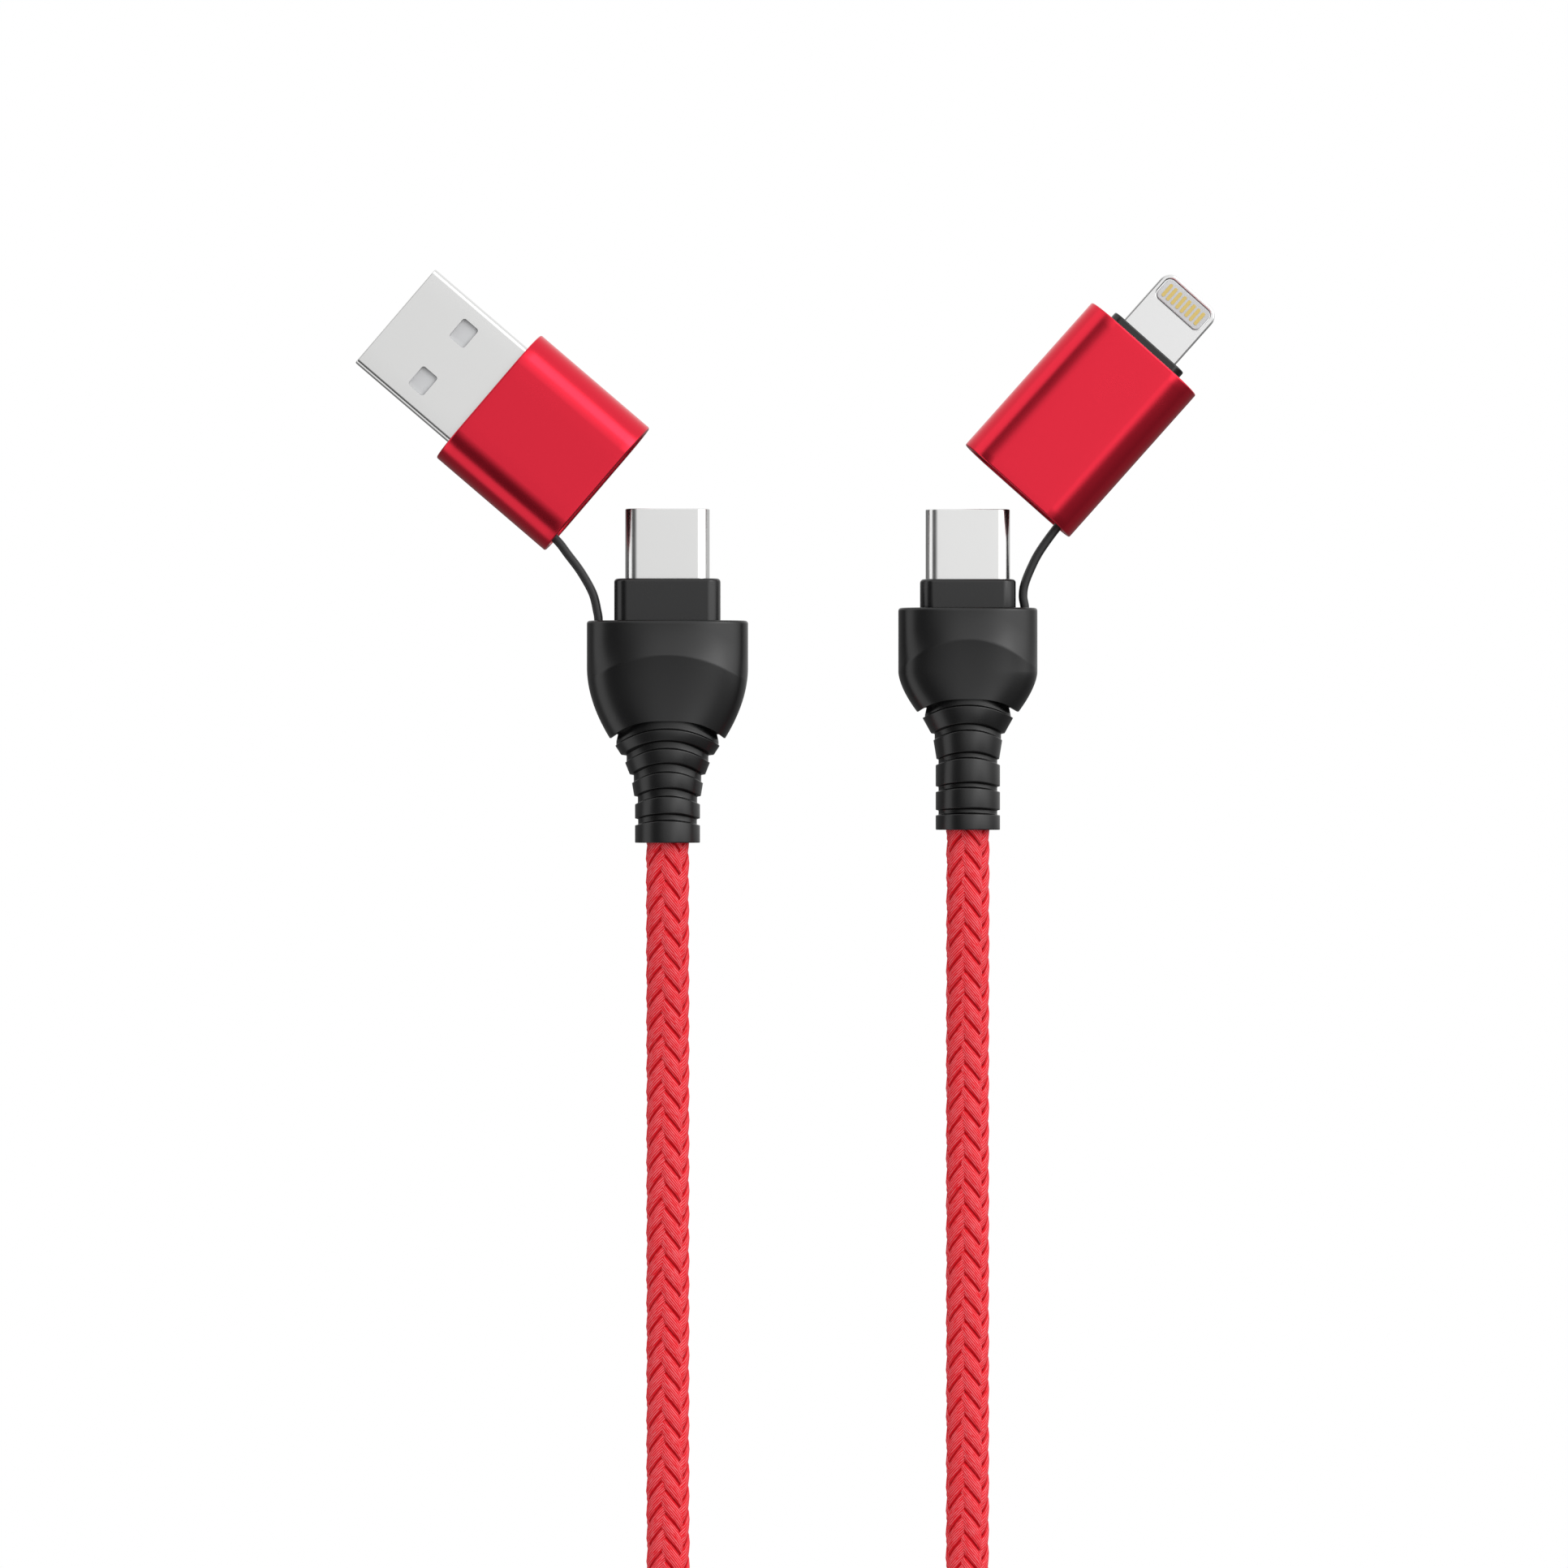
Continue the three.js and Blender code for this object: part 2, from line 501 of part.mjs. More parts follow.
function hostAdapter() {
  const group = new THREE.Group();
  const sleeve = HOST_SLEEVE;
  const pocket = pocketDepth(HOST);
  const plugBack = sleeve.length - A_BURIED;
  const tip = sleeve.length + A_PROUD;
  addPiece(group, 'host_adapter_sleeve', sleeveGeometry(sleeve,
    pillAlongY(A_WIDTH + 2 * FIT, A_HEIGHT + 2 * FIT, 0.5, plugBack, tip)), RED_METAL);
  const socketBack = addSocket(group, 'host_adapter', pocket + 0.2, pocket + C_PROUD + AIR);
  const core = coreBody(sleeve, pocket, plugBack);
  addPiece(group, 'host_adapter_core', cut(core.block, core.socketHole,
    pillAlongY(A_WIDTH + 2 * FIT, A_HEIGHT + 2 * FIT, 0.5, plugBack - AIR, tip)), BLACK);
  const inner = [A_WIDTH - 2 * A_WALL, A_HEIGHT - 2 * A_WALL];
  const windows = [-A_WINDOW_X, A_WINDOW_X].map((x) =>
    block(A_WINDOW[0], A_WINDOW[1], A_HEIGHT * 2, x, tip - A_WINDOW_BACK, 0));
  addPiece(group, 'host_a_shell', cut(
    pillAlongY(A_WIDTH, A_HEIGHT, 0.45, plugBack, tip),
    pillAlongY(inner[0], inner[1], 0.2, plugBack - 1, tip + 1), ...windows), STEEL);
  const tongueFrom = plugBack + A_TONGUE_SET;
  const [boardBack, boardFront] = [socketBack + AIR, tongueFrom - AIR];
  addPiece(group, 'host_adapter_board', block(SOCKET_WIDTH - 2 * AIR, boardFront - boardBack,
    BOARD_THICK, 0, (boardBack + boardFront) / 2, -BOARD_THICK / 2), BOARD);
  const tongueTip = tip - 0.8;
  const tongueTop = inner[1] / 2 - FIT;
  const tongueBottom = 0;
  const [pinBack, pinFront] = [tongueFrom + A_PIN_ENDS[0], tongueTip - A_PIN_ENDS[1]];
  addPiece(group, 'host_a_tongue', block(inner[0] - 2 * FIT, tongueTip - tongueFrom,
    tongueTop - tongueBottom, 0, (tongueTip + tongueFrom) / 2,
    (tongueTop + tongueBottom) / 2), WHITE);
  A_PIN_X.forEach((x, i) => addPiece(group, `host_a_contact_${i + 1}`,
    block(A_PIN_WIDTH, pinFront - pinBack, A_PIN_THICK, x, (pinFront + pinBack) / 2,
      tongueBottom - THIN - A_PIN_THICK / 2), GOLD));
  return group;
}

function phoneAdapter() {
  const group = new THREE.Group();
  const sleeve = PHONE_SLEEVE;
  const pocket = pocketDepth(PHONE);
  const capTip = sleeve.length + CAP_PROUD;
  const capBack = sleeve.length - CAP_BURIED;
  const tip = capTip + BLADE_PROUD;
  addPiece(group, 'phone_adapter_sleeve', sleeveGeometry(sleeve,
    pillAlongY(CAP_WIDTH + 2 * FIT, CAP_HEIGHT + 2 * FIT, 1.2, capBack, tip)), RED_METAL);
  const socketBack = addSocket(group, 'phone_adapter', pocket + 0.2, pocket + C_PROUD + AIR);
  const core = coreBody(sleeve, pocket, socketBack + AIR);
  addPiece(group, 'phone_adapter_core', cut(core.block, core.socketHole,
    pillAlongY(CAP_WIDTH + 2 * FIT, CAP_HEIGHT + 2 * FIT, 1.2, socketBack + 0.1, tip)), BLACK);
  const bladeBack = capBack - 0.5;
  addPiece(group, 'phone_adapter_cap', cut(
    pillAlongY(CAP_WIDTH, CAP_HEIGHT, 1.1, capBack, capTip),
    pillAlongY(BLADE_WIDTH + 2 * FIT, BLADE_HEIGHT + 2 * FIT, 0.15, bladeBack - 1, tip)),
  BLACK_SATIN);
  const boardFront = bladeBack - AIR;
  const boardBack = socketBack + AIR;
  addPiece(group, 'phone_adapter_board', block(8, boardFront - boardBack, BOARD_THICK, 0,
    (boardFront + boardBack) / 2, -0.5), BOARD);
  addPiece(group, 'phone_adapter_chip', block(2.4, 1.8, 0.7, 0,
    (boardFront + boardBack) / 2, BOARD_THICK / 2 - 0.5 + THIN + 0.35), BLACK_SATIN);
  addBlade(group, bladeBack, tip);
  return group;
}

// The eight-pin blade: a steel frame, an insulating panel set in its window, and eight contacts
// that go through the panel and show on both faces.
function addBlade(group, back, tip) {
  const panelY = tip - PANEL_BACK - PANEL[1] / 2;
  const outline = roundedRectangle(BLADE_WIDTH, tip - back, BLADE_CORNER, 0, (tip + back) / 2);
  outline.holes.push(roundedRectangle(PANEL[0] + 2 * THIN, PANEL[1] + 2 * THIN, PANEL[2],
    0, panelY));
  addPiece(group, 'phone_eight_pin_frame', plate(outline, BLADE_HEIGHT), STEEL);
  const panel = roundedRectangle(PANEL[0], PANEL[1], PANEL[2], 0, panelY);
  const pinX = (i) => (i - (EIGHT - 1) / 2) * EIGHT_PITCH;
  for (let i = 0; i < EIGHT; i++) {
    panel.holes.push(roundedRectangle(EIGHT_PIN[0] + 2 * THIN, EIGHT_PIN[1] + 2 * THIN, 0.15,
      pinX(i), panelY));
    addPiece(group, `phone_eight_pin_contact_${i + 1}`, plate(roundedRectangle(EIGHT_PIN[0],
      EIGHT_PIN[1], 0.15, pinX(i), panelY), BLADE_HEIGHT + 0.02, 0, 2), GOLD);
  }
  addPiece(group, 'phone_eight_pin_panel', plate(panel, BLADE_HEIGHT, 0, 2), WHITE);
}

// An adapter is laid out in line with its head, then swung about the middle of its strap.
function placeAdapter(head, adapter, end) {
  const swing = new THREE.Group();
  swing.position.set(...end.pivot, 0);
  swing.rotation.z = THREE.MathUtils.degToRad(end.restAngle);
  adapter.position.set(...end.sleeveOffset, 0);
  swing.add(adapter);
  head.add(swing);
}

// ---- the cord ----
function addCord() {
  const group = new THREE.Group();
  group.position.set(0, -BOOT_END, 0);
  const section = new THREE.Shape(new THREE.EllipseCurve(0, 0, CORD_D / 2, CORD_D / 2)
    .getPoints(10).slice(0, 10));
  for (const [label, points] of [['host', HOST_LEG], ['phone', PHONE_LEG]]) {
    const visible = points.slice(0, TUBE_POINTS);
    const path = new THREE.CatmullRomCurve3(visible.map((p) => new THREE.Vector3(...p)));
    addPiece(group, `cord_${label}_leg`, new THREE.ExtrudeGeometry(section,
      { extrudePath: path, steps: 30, bevelEnabled: false }), BRAID);
  }
  const inside = COIL_R - COIL_TURNS_LOW * COIL_PITCH - CORD_D / 2;
  const outside = COIL_R - COIL_PITCH / 2 + CORD_D / 2 - 0.4;
  const top = 2 * CORD_D + TIE_LIFT + 0.1;
  const profile = [[inside, 0], [outside, 0], [outside, top], [inside, top], [inside, 0]]
    .map(([r, z]) => new THREE.Vector2(r, z));
  const coil = new THREE.LatheGeometry(profile, 48).rotateX(Math.PI / 2);
  const notch = block(TIE_WIDTH + 2 * AIR, outside - inside + 4, 2 * (TIE_THICK + AIR),
    0, -(inside + outside) / 2, 0);
  const place = (geometry) => geometry.translate(COIL_AT[0], COIL_AT[1], 0);
  addPiece(group, 'cord_coil', place(cut(coil, notch)), BRAID);
  // The inner wall stands clear of the ring's curve at the tie's edges.
  const near = Math.sqrt(inside ** 2 - (TIE_WIDTH / 2) ** 2) - AIR;
  const far = outside + AIR;
  const middle = -(near + far) / 2;
  const hollow = top - TIE_THICK + AIR;
  const outer = block(TIE_WIDTH, far - near + 2 * TIE_THICK, hollow + 2 * TIE_THICK,
    0, middle, hollow / 2 + TIE_THICK);
  const hole = block(TIE_WIDTH + 2, far - near, hollow, 0, middle, hollow / 2 + TIE_THICK);
  addPiece(group, 'cord_tie', place(cut(outer, hole)), RUBBER);
  return group;
}

// ---- the whole cable ----
const cable = new THREE.Group();
const hostHead = addHead(HOST);
const phoneHead = addHead(PHONE);
placeAdapter(hostHead, hostAdapter(), HOST);
placeAdapter(phoneHead, phoneAdapter(), PHONE);
const hardware = new THREE.Group();
hardware.add(hostHead, phoneHead);
cable.add(hardware, addCord());

// The origin is under the middle of the box round the heads and adapters.
cable.updateMatrixWorld(true);
const box = new THREE.Box3().setFromObject(hardware, true);
cable.position.set(-(box.min.x + box.max.x) / 2, -(box.min.y + box.max.y) / 2, 0);

const part = new THREE.Group();
part.add(cable);
export default part;
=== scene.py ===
"""A two-ended charging cable: a red braided cord, two moulded heads and their tethered adapters.

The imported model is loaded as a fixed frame, and the pieces that show are built round it as
surfaces worked out with numpy. Lengths inside the classes are in millimetres, in each end's own
frame: x across the head, y from the shoulder towards the plug's tip, z up from the axis.
"""
import json
import logging
import math
from dataclasses import dataclass, field
from enum import Enum
from typing import Sequence

import bmesh
import bpy
import numpy as np
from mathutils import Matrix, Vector


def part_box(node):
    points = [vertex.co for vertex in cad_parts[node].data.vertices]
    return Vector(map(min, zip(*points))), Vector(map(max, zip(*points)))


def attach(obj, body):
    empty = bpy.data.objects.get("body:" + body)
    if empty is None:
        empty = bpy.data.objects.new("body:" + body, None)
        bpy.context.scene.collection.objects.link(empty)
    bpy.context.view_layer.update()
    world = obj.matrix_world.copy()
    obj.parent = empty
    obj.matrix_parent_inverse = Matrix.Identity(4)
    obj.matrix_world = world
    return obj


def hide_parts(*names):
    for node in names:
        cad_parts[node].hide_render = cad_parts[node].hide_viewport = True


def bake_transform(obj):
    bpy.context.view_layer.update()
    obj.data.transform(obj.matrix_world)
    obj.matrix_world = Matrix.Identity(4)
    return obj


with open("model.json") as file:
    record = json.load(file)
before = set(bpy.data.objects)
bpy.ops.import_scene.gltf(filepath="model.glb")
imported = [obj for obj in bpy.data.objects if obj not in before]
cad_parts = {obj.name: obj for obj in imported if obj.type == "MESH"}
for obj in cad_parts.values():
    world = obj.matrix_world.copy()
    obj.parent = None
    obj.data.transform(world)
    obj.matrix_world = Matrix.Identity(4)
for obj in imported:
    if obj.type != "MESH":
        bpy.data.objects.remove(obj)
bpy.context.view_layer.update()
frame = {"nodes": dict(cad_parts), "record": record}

LOG = logging.getLogger("charging_cable")
MM = 0.001
Array = np.ndarray
# A Mix node's colour sockets share their names with its other kinds, so they go by index.
MIX_FACTOR, MIX_LOW, MIX_HIGH, MIX_COLOUR = 0, 6, 7, 2


# ---------------------------------------------------------------------------
# Shader maths
# ---------------------------------------------------------------------------
class Value:
    """One output socket, with Python's operators standing for Math nodes."""

    def __init__(self, graph: "Graph", socket: bpy.types.NodeSocket) -> None:
        """Keeps the socket and the graph that it belongs to."""
        self.graph = graph
        self.socket = socket

    def _math(self, operation: str, *others: "Value | float") -> "Value":
        """Adds one Math node fed by this value and the others."""
        return self.graph.math(operation, self, *others)

    def __add__(self, other: "Value | float") -> "Value":
        """The sum of two values."""
        return self._math("ADD", other)

    __radd__ = __add__

    def __mul__(self, other: "Value | float") -> "Value":
        """The product of two values."""
        return self._math("MULTIPLY", other)

    __rmul__ = __mul__

    def __sub__(self, other: "Value | float") -> "Value":
        """This value less the other."""
        return self._math("SUBTRACT", other)

    def __rsub__(self, other: float) -> "Value":
        """The other value less this one."""
        return self.graph.math("SUBTRACT", other, self)

    def power(self, exponent: float) -> "Value":
        """This value to a power."""
        return self._math("POWER", exponent)

    def sine(self) -> "Value":
        """The sine of this value in radians."""
        return self._math("SINE")

    def absolute(self) -> "Value":
        """This value without its sign."""
        return self._math("ABSOLUTE")

    def ramp(self, low: float, high: float) -> "Value":
        """0 below low, 1 above high, and a straight line between."""
        return self.graph.math("MULTIPLY_ADD", self, 1 / (high - low), -low / (high - low), clamp=True)


class Graph:
    """A node tree, and the ways to add to it."""

    def __init__(self, tree: bpy.types.NodeTree) -> None:
        """Keeps the tree."""
        self.tree = tree

    def node(self, kind: str, settings: dict | None = None, **inputs: object) -> bpy.types.Node:
        """Adds a node.

        Args:
            kind: the node's Blender type.
            settings: attributes that are set before any socket.
            inputs: a value or a link for each named socket, with _ for a space.

        Returns:
            The new node.
        """
        made = self.tree.nodes.new(kind)
        for key, value in (settings or {}).items():
            setattr(made, key, value)
        for key, value in inputs.items():
            self.feed(made.inputs[key.replace("_", " ")], value)
        return made

    def feed(self, socket: bpy.types.NodeSocket, value: object) -> None:
        """Links a value or socket into a socket, or sets the socket's own number."""
        if isinstance(value, Value):
            value = value.socket
        if isinstance(value, bpy.types.NodeSocket):
            self.tree.links.new(value, socket)
        else:
            socket.default_value = value

    def math(self, operation: str, *values: "Value | float", clamp: bool = False) -> Value:
        """Adds one Math node on the values given."""
        made = self.node("ShaderNodeMath", {"operation": operation, "use_clamp": clamp})
        for socket, value in zip(made.inputs, values):
            self.feed(socket, value)
        return Value(self, made.outputs[0])

    def place(self) -> bpy.types.NodeSocket:
        """Object coordinates, in metres."""
        return self.node("ShaderNodeTexCoord").outputs["Object"]

    def split(self, vector: bpy.types.NodeSocket) -> list[Value]:
        """The three components of a vector."""
        return [Value(self, out) for out in self.node("ShaderNodeSeparateXYZ", Vector=vector).outputs]

    def noise(self, scale: float, detail: float = 3, where: object = None) -> Value:
        """Fractal noise from 0 to 1, with about scale cells per metre."""
        made = self.node("ShaderNodeTexNoise", Vector=where or self.place(), Scale=scale, Detail=detail)
        return Value(self, made.outputs["Fac"])

    def mix(self, factor: Value, low: object, high: Sequence[float]) -> bpy.types.NodeSocket:
        """A colour between low, which may be a link, and high."""
        made = self.node("ShaderNodeMix", {"data_type": "RGBA"})
        self.feed(made.inputs[MIX_FACTOR], factor)
        self.feed(made.inputs[MIX_LOW], low if isinstance(low, bpy.types.NodeSocket) else (*low, 1))
        self.feed(made.inputs[MIX_HIGH], (*high, 1))
        return made.outputs[MIX_COLOUR]

    def bump(self, height: Value, distance: float, strength: float = 1) -> bpy.types.NodeSocket:
        """A normal from a height that varies from 0 to 1 over that many metres."""
        made = self.node("ShaderNodeBump", Height=height, Distance=distance, Strength=strength)
        return made.outputs[0]


class Surface(Graph):
    """One material's node tree, with a Principled shader at its end."""

    def __init__(self, name: str) -> None:
        """Makes an empty node material of that name."""
        self.material = bpy.data.materials.new(name)
        self.material.use_nodes = True
        super().__init__(self.material.node_tree)
        self.shader = self.tree.nodes["Principled BSDF"]

    def set(self, **inputs: object) -> None:
        """Sets or links the shader's sockets by name, with _ for a space."""
        for key, value in inputs.items():
            self.feed(self.shader.inputs[key.replace("_", " ")], value)


def scaled(colour: Sequence[float], factor: float) -> tuple[float, ...]:
    """A colour made lighter or darker by a factor."""
    return tuple(min(1.0, c * factor) for c in colour)


# ---------------------------------------------------------------------------
# Finishes
# ---------------------------------------------------------------------------
@dataclass(frozen=True)
class MouldedFinish:
    """Moulded plastic or rubber, with a fine spark-eroded grain and rubbed patches."""

    name: str
    colour: tuple[float, float, float]
    roughness: float = 0.42
    grain: float = 9000.0
    grain_depth: float = 0.000004

    def build(self) -> bpy.types.Material:
        """Returns the material: grain as bump, and slow patches of tone and polish."""
        graph = Surface(self.name)
        grain = graph.noise(self.grain, 2)
        patches = graph.noise(160, 3)
        graph.set(
            Base_Color=graph.mix(patches, scaled(self.colour, 0.85), scaled(self.colour, 1.2)),
            Roughness=patches * 0.12 + grain * 0.06 + (self.roughness - 0.09),
            Normal=graph.bump(grain, self.grain_depth, 0.6),
        )
        return graph.material


@dataclass(frozen=True)
class MetalFinish:
    """Plated or anodised metal, bead blasted very finely."""

    name: str
    colour: tuple[float, float, float]
    roughness: float = 0.3
    blast: float = 14000.0
    blast_depth: float = 0.000002
    metallic: float = 1.0

    def build(self) -> bpy.types.Material:
        """Returns the material: blasted speckle in bump and tone, and slow patches of polish."""
        graph = Surface(self.name)
        speckle = graph.noise(self.blast, 2)
        patches = graph.noise(220, 3)
        tone = speckle * 0.6 + patches * 0.4
        graph.set(
            Base_Color=graph.mix(tone, scaled(self.colour, 0.975), scaled(self.colour, 1.02)),
            Roughness=patches * 0.1 + speckle * 0.05 + (self.roughness - 0.075),
            Metallic=self.metallic,
            Normal=graph.bump(speckle, self.blast_depth, 0.5),
        )
        return graph.material


@dataclass(frozen=True)
class BraidFinish:
    """Nylon yarn: filaments along each ribbon, pale streaks of painted highlight, and painted shade
    darkening each ribbon towards its edges.
    """

    name: str = "red_braid_yarn"
    colour: tuple[float, float, float] = (0.84, 0.012, 0.021)
    # Painted highlight: the pale colour that the yarn's streaks are mixed towards.
    painted_highlight: tuple[float, float, float] = (0.90, 0.17, 0.195)
    # Painted shade: the deep colour that darkens each ribbon towards its edges, in the gaps where it
    # dives under its neighbours.
    deep: tuple[float, float, float] = (0.30, 0.004, 0.008)
    filaments: float = 9.0

    def build(self) -> bpy.types.Material:
        """Returns the material. The UV map runs across a ribbon in u and along it in v, in mm."""
        graph = Surface(self.name)
        uv = graph.node("ShaderNodeUVMap", {"uv_map": "yarn"}).outputs[0]
        across, along, _ = graph.split(uv)
        streak = graph.noise(1.0, 3, graph.node("ShaderNodeMapping", Vector=uv,
                                                Scale=(14.0, 1.1, 1.0)).outputs[0])
        filament = ((across * self.filaments + along * 0.35 + streak * 0.5) * math.tau).sine()
        filament = filament * 0.5 + 0.5
        # Mask of the painted shade: 0 over the ribbon's middle, rising to 1 at its edges.
        edge = ((across - 0.5).absolute() * 2).ramp(0.62, 1.0)
        fuzz = graph.noise(5200, 3)
        tone = (filament * 0.5 + streak * 0.9 + fuzz * 0.2 - 0.5) * (1 - edge)
        # Painted highlight: the yarn turns pale where the filaments and streaks run high.
        lit = graph.mix(tone.ramp(0.22, 0.52), self.colour, self.painted_highlight)
        graph.set(
            # Painted shade at the ribbon's edges, laid over the painted highlights.
            Base_Color=graph.mix(edge * 0.55, lit, self.deep),
            Roughness=0.62 - filament * 0.1 + edge * 0.2,
            Normal=graph.bump(filament * (1 - edge) * 0.7 + fuzz * 0.3, 0.00003, 0.9),
            Specular_IOR_Level=0.08,
        )
        return graph.material


@dataclass(frozen=True)
class BoardFinish:
    """Solder mask over a laminate, with the tracks standing a little proud."""

    name: str = "board_mask"
    colour: tuple[float, float, float] = (0.015, 0.11, 0.045)

    def build(self) -> bpy.types.Material:
        """Returns the material: tracks as bands of tone and bump."""
        graph = Surface(self.name)
        across = graph.split(graph.place())[0]
        wander = graph.noise(500, 2)
        tracks = ((across * 5200 + wander * 6).sine()).ramp(0.2, 0.6)
        graph.set(
            Base_Color=graph.mix(tracks, self.colour, scaled(self.colour, 1.9)),
            Roughness=0.4 - tracks * 0.1,
            Normal=graph.bump(tracks, 0.00003, 0.6),
        )
        return graph.material


class Slot(Enum):
    """The record's material slots, each with its finish."""

    BLACK_MOULDING = ("black_moulding", MouldedFinish("moulded_black", (0.004, 0.004, 0.0043), 0.31))
    BLACK_SATIN = ("black_satin", MouldedFinish("satin_black", (0.0036, 0.0036, 0.0039), 0.25))
    BLACK_INSULATOR = ("black_insulator", MouldedFinish("insulator_black", (0.012, 0.012, 0.0125), 0.5))
    RUBBER = ("rubber_black", MouldedFinish("strap_rubber", (0.010, 0.010, 0.0105), 0.45))
    INSULATOR_WHITE = ("insulator_white",
                       MouldedFinish("insulator_pale", (0.60, 0.605, 0.615), 0.45))
    WIRE_RED = ("wire_red", MouldedFinish("wire_sleeve_red", (0.5, 0.02, 0.02), 0.4))
    WIRE_GREEN = ("wire_green", MouldedFinish("wire_sleeve_green", (0.02, 0.25, 0.06), 0.4))
    RED_ALUMINIUM = ("red_aluminium",
                     MetalFinish("anodised_red", (0.70, 0.022, 0.046), 0.25, metallic=0.9))
    PLUG_STEEL = ("plug_steel", MetalFinish("plated_steel", (0.735, 0.735, 0.73), 0.22))
    BRIGHT_STEEL = ("bright_steel", MetalFinish("blade_steel", (0.715, 0.715, 0.715), 0.26))
    GOLD = ("gold_plate", MetalFinish("gold_flash", (0.62, 0.47, 0.17), 0.3))
    BRAID = ("red_braid", BraidFinish())
    BOARD = ("board_green", BoardFinish())

    @property
    def slot_name(self) -> str:
        """The slot's name in the record."""
        return self.value[0]

    @property
    def material(self) -> bpy.types.Material:
        """The slot's material, built once."""
        finish = self.value[1]
        return bpy.data.materials.get(finish.name) or finish.build()


# ---------------------------------------------------------------------------
# Mesh making
# ---------------------------------------------------------------------------
def grid_faces(rows: int, columns: int, wrap_rows: bool) -> Array:
    """Quads of a grid of points.

    Point (i, j) is joined to (i+1, j), (i+1, j+1) and (i, j+1). The last column joins the
    first.

    Args:
        rows: how many points along i.
        columns: how many points along j.
        wrap_rows: whether the last row joins the first.

    Returns:
        An array of quads, four indices each.
    """
    i = np.arange(rows if wrap_rows else rows - 1)[:, None]
    j = np.arange(columns)[None, :]
    down, right = (i + 1) % rows, (j + 1) % columns
    quads = np.stack([i * columns + j, down * columns + j, down * columns + right,
                      i * columns + right], axis=-1)
    return quads.reshape(-1, 4)


def new_piece(name: str, points: Array, faces: Sequence, slot: Slot, body: str,
              replaces: Sequence[str]) -> bpy.types.Object:
    """Makes a mesh object at the origin, dresses it, ties it to its body and hides the CAD nodes that
    it stands for.

    Args:
        name: the piece's name.
        points: its vertices in the row frame, in metres.
        faces: its polygons.
        slot: the finish.
        body: the body that it rides on, or an empty string to leave it untied.
        replaces: the CAD nodes that it stands for.

    Returns:
        The new object.
    """
    mesh = bpy.data.meshes.new(name)
    mesh.from_pydata(points.reshape(-1, 3).tolist(), [], [list(map(int, f)) for f in faces])
    mesh.update()
    mesh.polygons.foreach_set("use_smooth", np.ones(len(mesh.polygons), bool))
    piece = bpy.data.objects.new(name, mesh)
    bpy.context.scene.collection.objects.link(piece)
    mesh.materials.append(slot.material)
    if body:
        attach(piece, body)
    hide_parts(*replaces)
    LOG.info("%s: %d faces on %s, for %s", name, len(mesh.polygons), body or "two bodies",
             ", ".join(replaces))
    return piece


def capped_faces(rows: int, columns: int) -> list:
    """The quads of a skin of rings, with one polygon closing each end."""
    faces = grid_faces(rows, columns, False).tolist()
    faces.append(list(range(columns)))
    faces.append(list(range((rows - 1) * columns, rows * columns))[::-1])
    return faces


def face_outwards(piece: bpy.types.Object, crease: float = 38.0) -> bpy.types.Object:
    """Turns the piece's faces outwards, and keeps edges sharper than crease degrees crisp."""
    shape = bmesh.new()
    shape.from_mesh(piece.data)
    bmesh.ops.remove_doubles(shape, verts=shape.verts, dist=1e-8)
    bmesh.ops.recalc_face_normals(shape, faces=shape.faces)
    shape.to_mesh(piece.data)
    shape.free()
    piece.data.set_sharp_from_angle(angle=math.radians(crease))
    return piece


def flatten_shading(piece: bpy.types.Object) -> bpy.types.Object:
    """Keeps the shading of large flat faces flat up to their rounded edges."""
    weighted = piece.modifiers.new("flat_faces", "WEIGHTED_NORMAL")
    weighted.weight, weighted.keep_sharp = 100, True
    return piece


def skin_piece(name: str, rings: Array, slot: Slot, body: str, node: str, crease: float = 38.0,
               tube: bool = False) -> bpy.types.Object:
    """Makes a piece from rings of points, with its faces outwards.

    Args:
        name: the piece's name.
        rings: the points, by ring and place in the ring, in the row frame and in metres.
        slot: the finish.
        body: the body that it rides on, or an empty string to leave it untied.
        node: the CAD node that it stands for.
        crease: edges sharper than this many degrees stay crisp.
        tube: whether the last ring joins the first, instead of both ends being closed.

    Returns:
        The new object.
    """
    rows, columns = rings.shape[:2]
    faces = grid_faces(rows, columns, True) if tube else capped_faces(rows, columns)
    return face_outwards(new_piece(name, rings, faces, slot, body, [node]), crease)


def rounded_outline(width: float, height: float, radius: float, inset: Array, arc: int = 16,
                    flat: int = 6) -> Array:
    """A rectangle with round corners, shrunk by each inset.

    A corner's arc is its centre plus the radius less the inset, turned through a quarter, and
    the flats between arcs are cut into equal steps. Points run from +x towards +z.

    Args:
        width: across x.
        height: across z.
        radius: of the corners.
        inset: how far each row is shrunk.
        arc: points on each corner.
        flat: steps on each flat.

    Returns:
        An array of rows, by points, by (x, z).
    """
    radius = min(radius, width / 2 - 1e-4, height / 2 - 1e-4)
    inset = np.asarray(inset, float)[:, None]
    turn = (np.linspace(0, 0.5, arc) * np.pi)[None, :]
    rows = []
    for quarter, (sx, sz) in enumerate(((1, 1), (-1, 1), (-1, -1), (1, -1))):
        centre_x, centre_z = sx * (width / 2 - radius), sz * (height / 2 - radius)
        angle = turn + quarter * np.pi / 2
        reach = np.maximum(radius - inset, 1e-3)
        spare = np.minimum(radius - inset - 1e-3, 0)
        x = centre_x + sx * spare + reach * np.cos(angle)
        z = centre_z + sz * spare + reach * np.sin(angle)
        rows.append(np.stack([x, z], axis=-1))
    loop = []
    for k in range(4):
        start, end = rows[k][:, -1:], rows[(k + 1) % 4][:, :1]
        share = np.linspace(0, 1, flat + 1)[1:-1][None, :, None]
        loop += [rows[k], start + (end - start) * share]
    return np.concatenate(loop, axis=1)


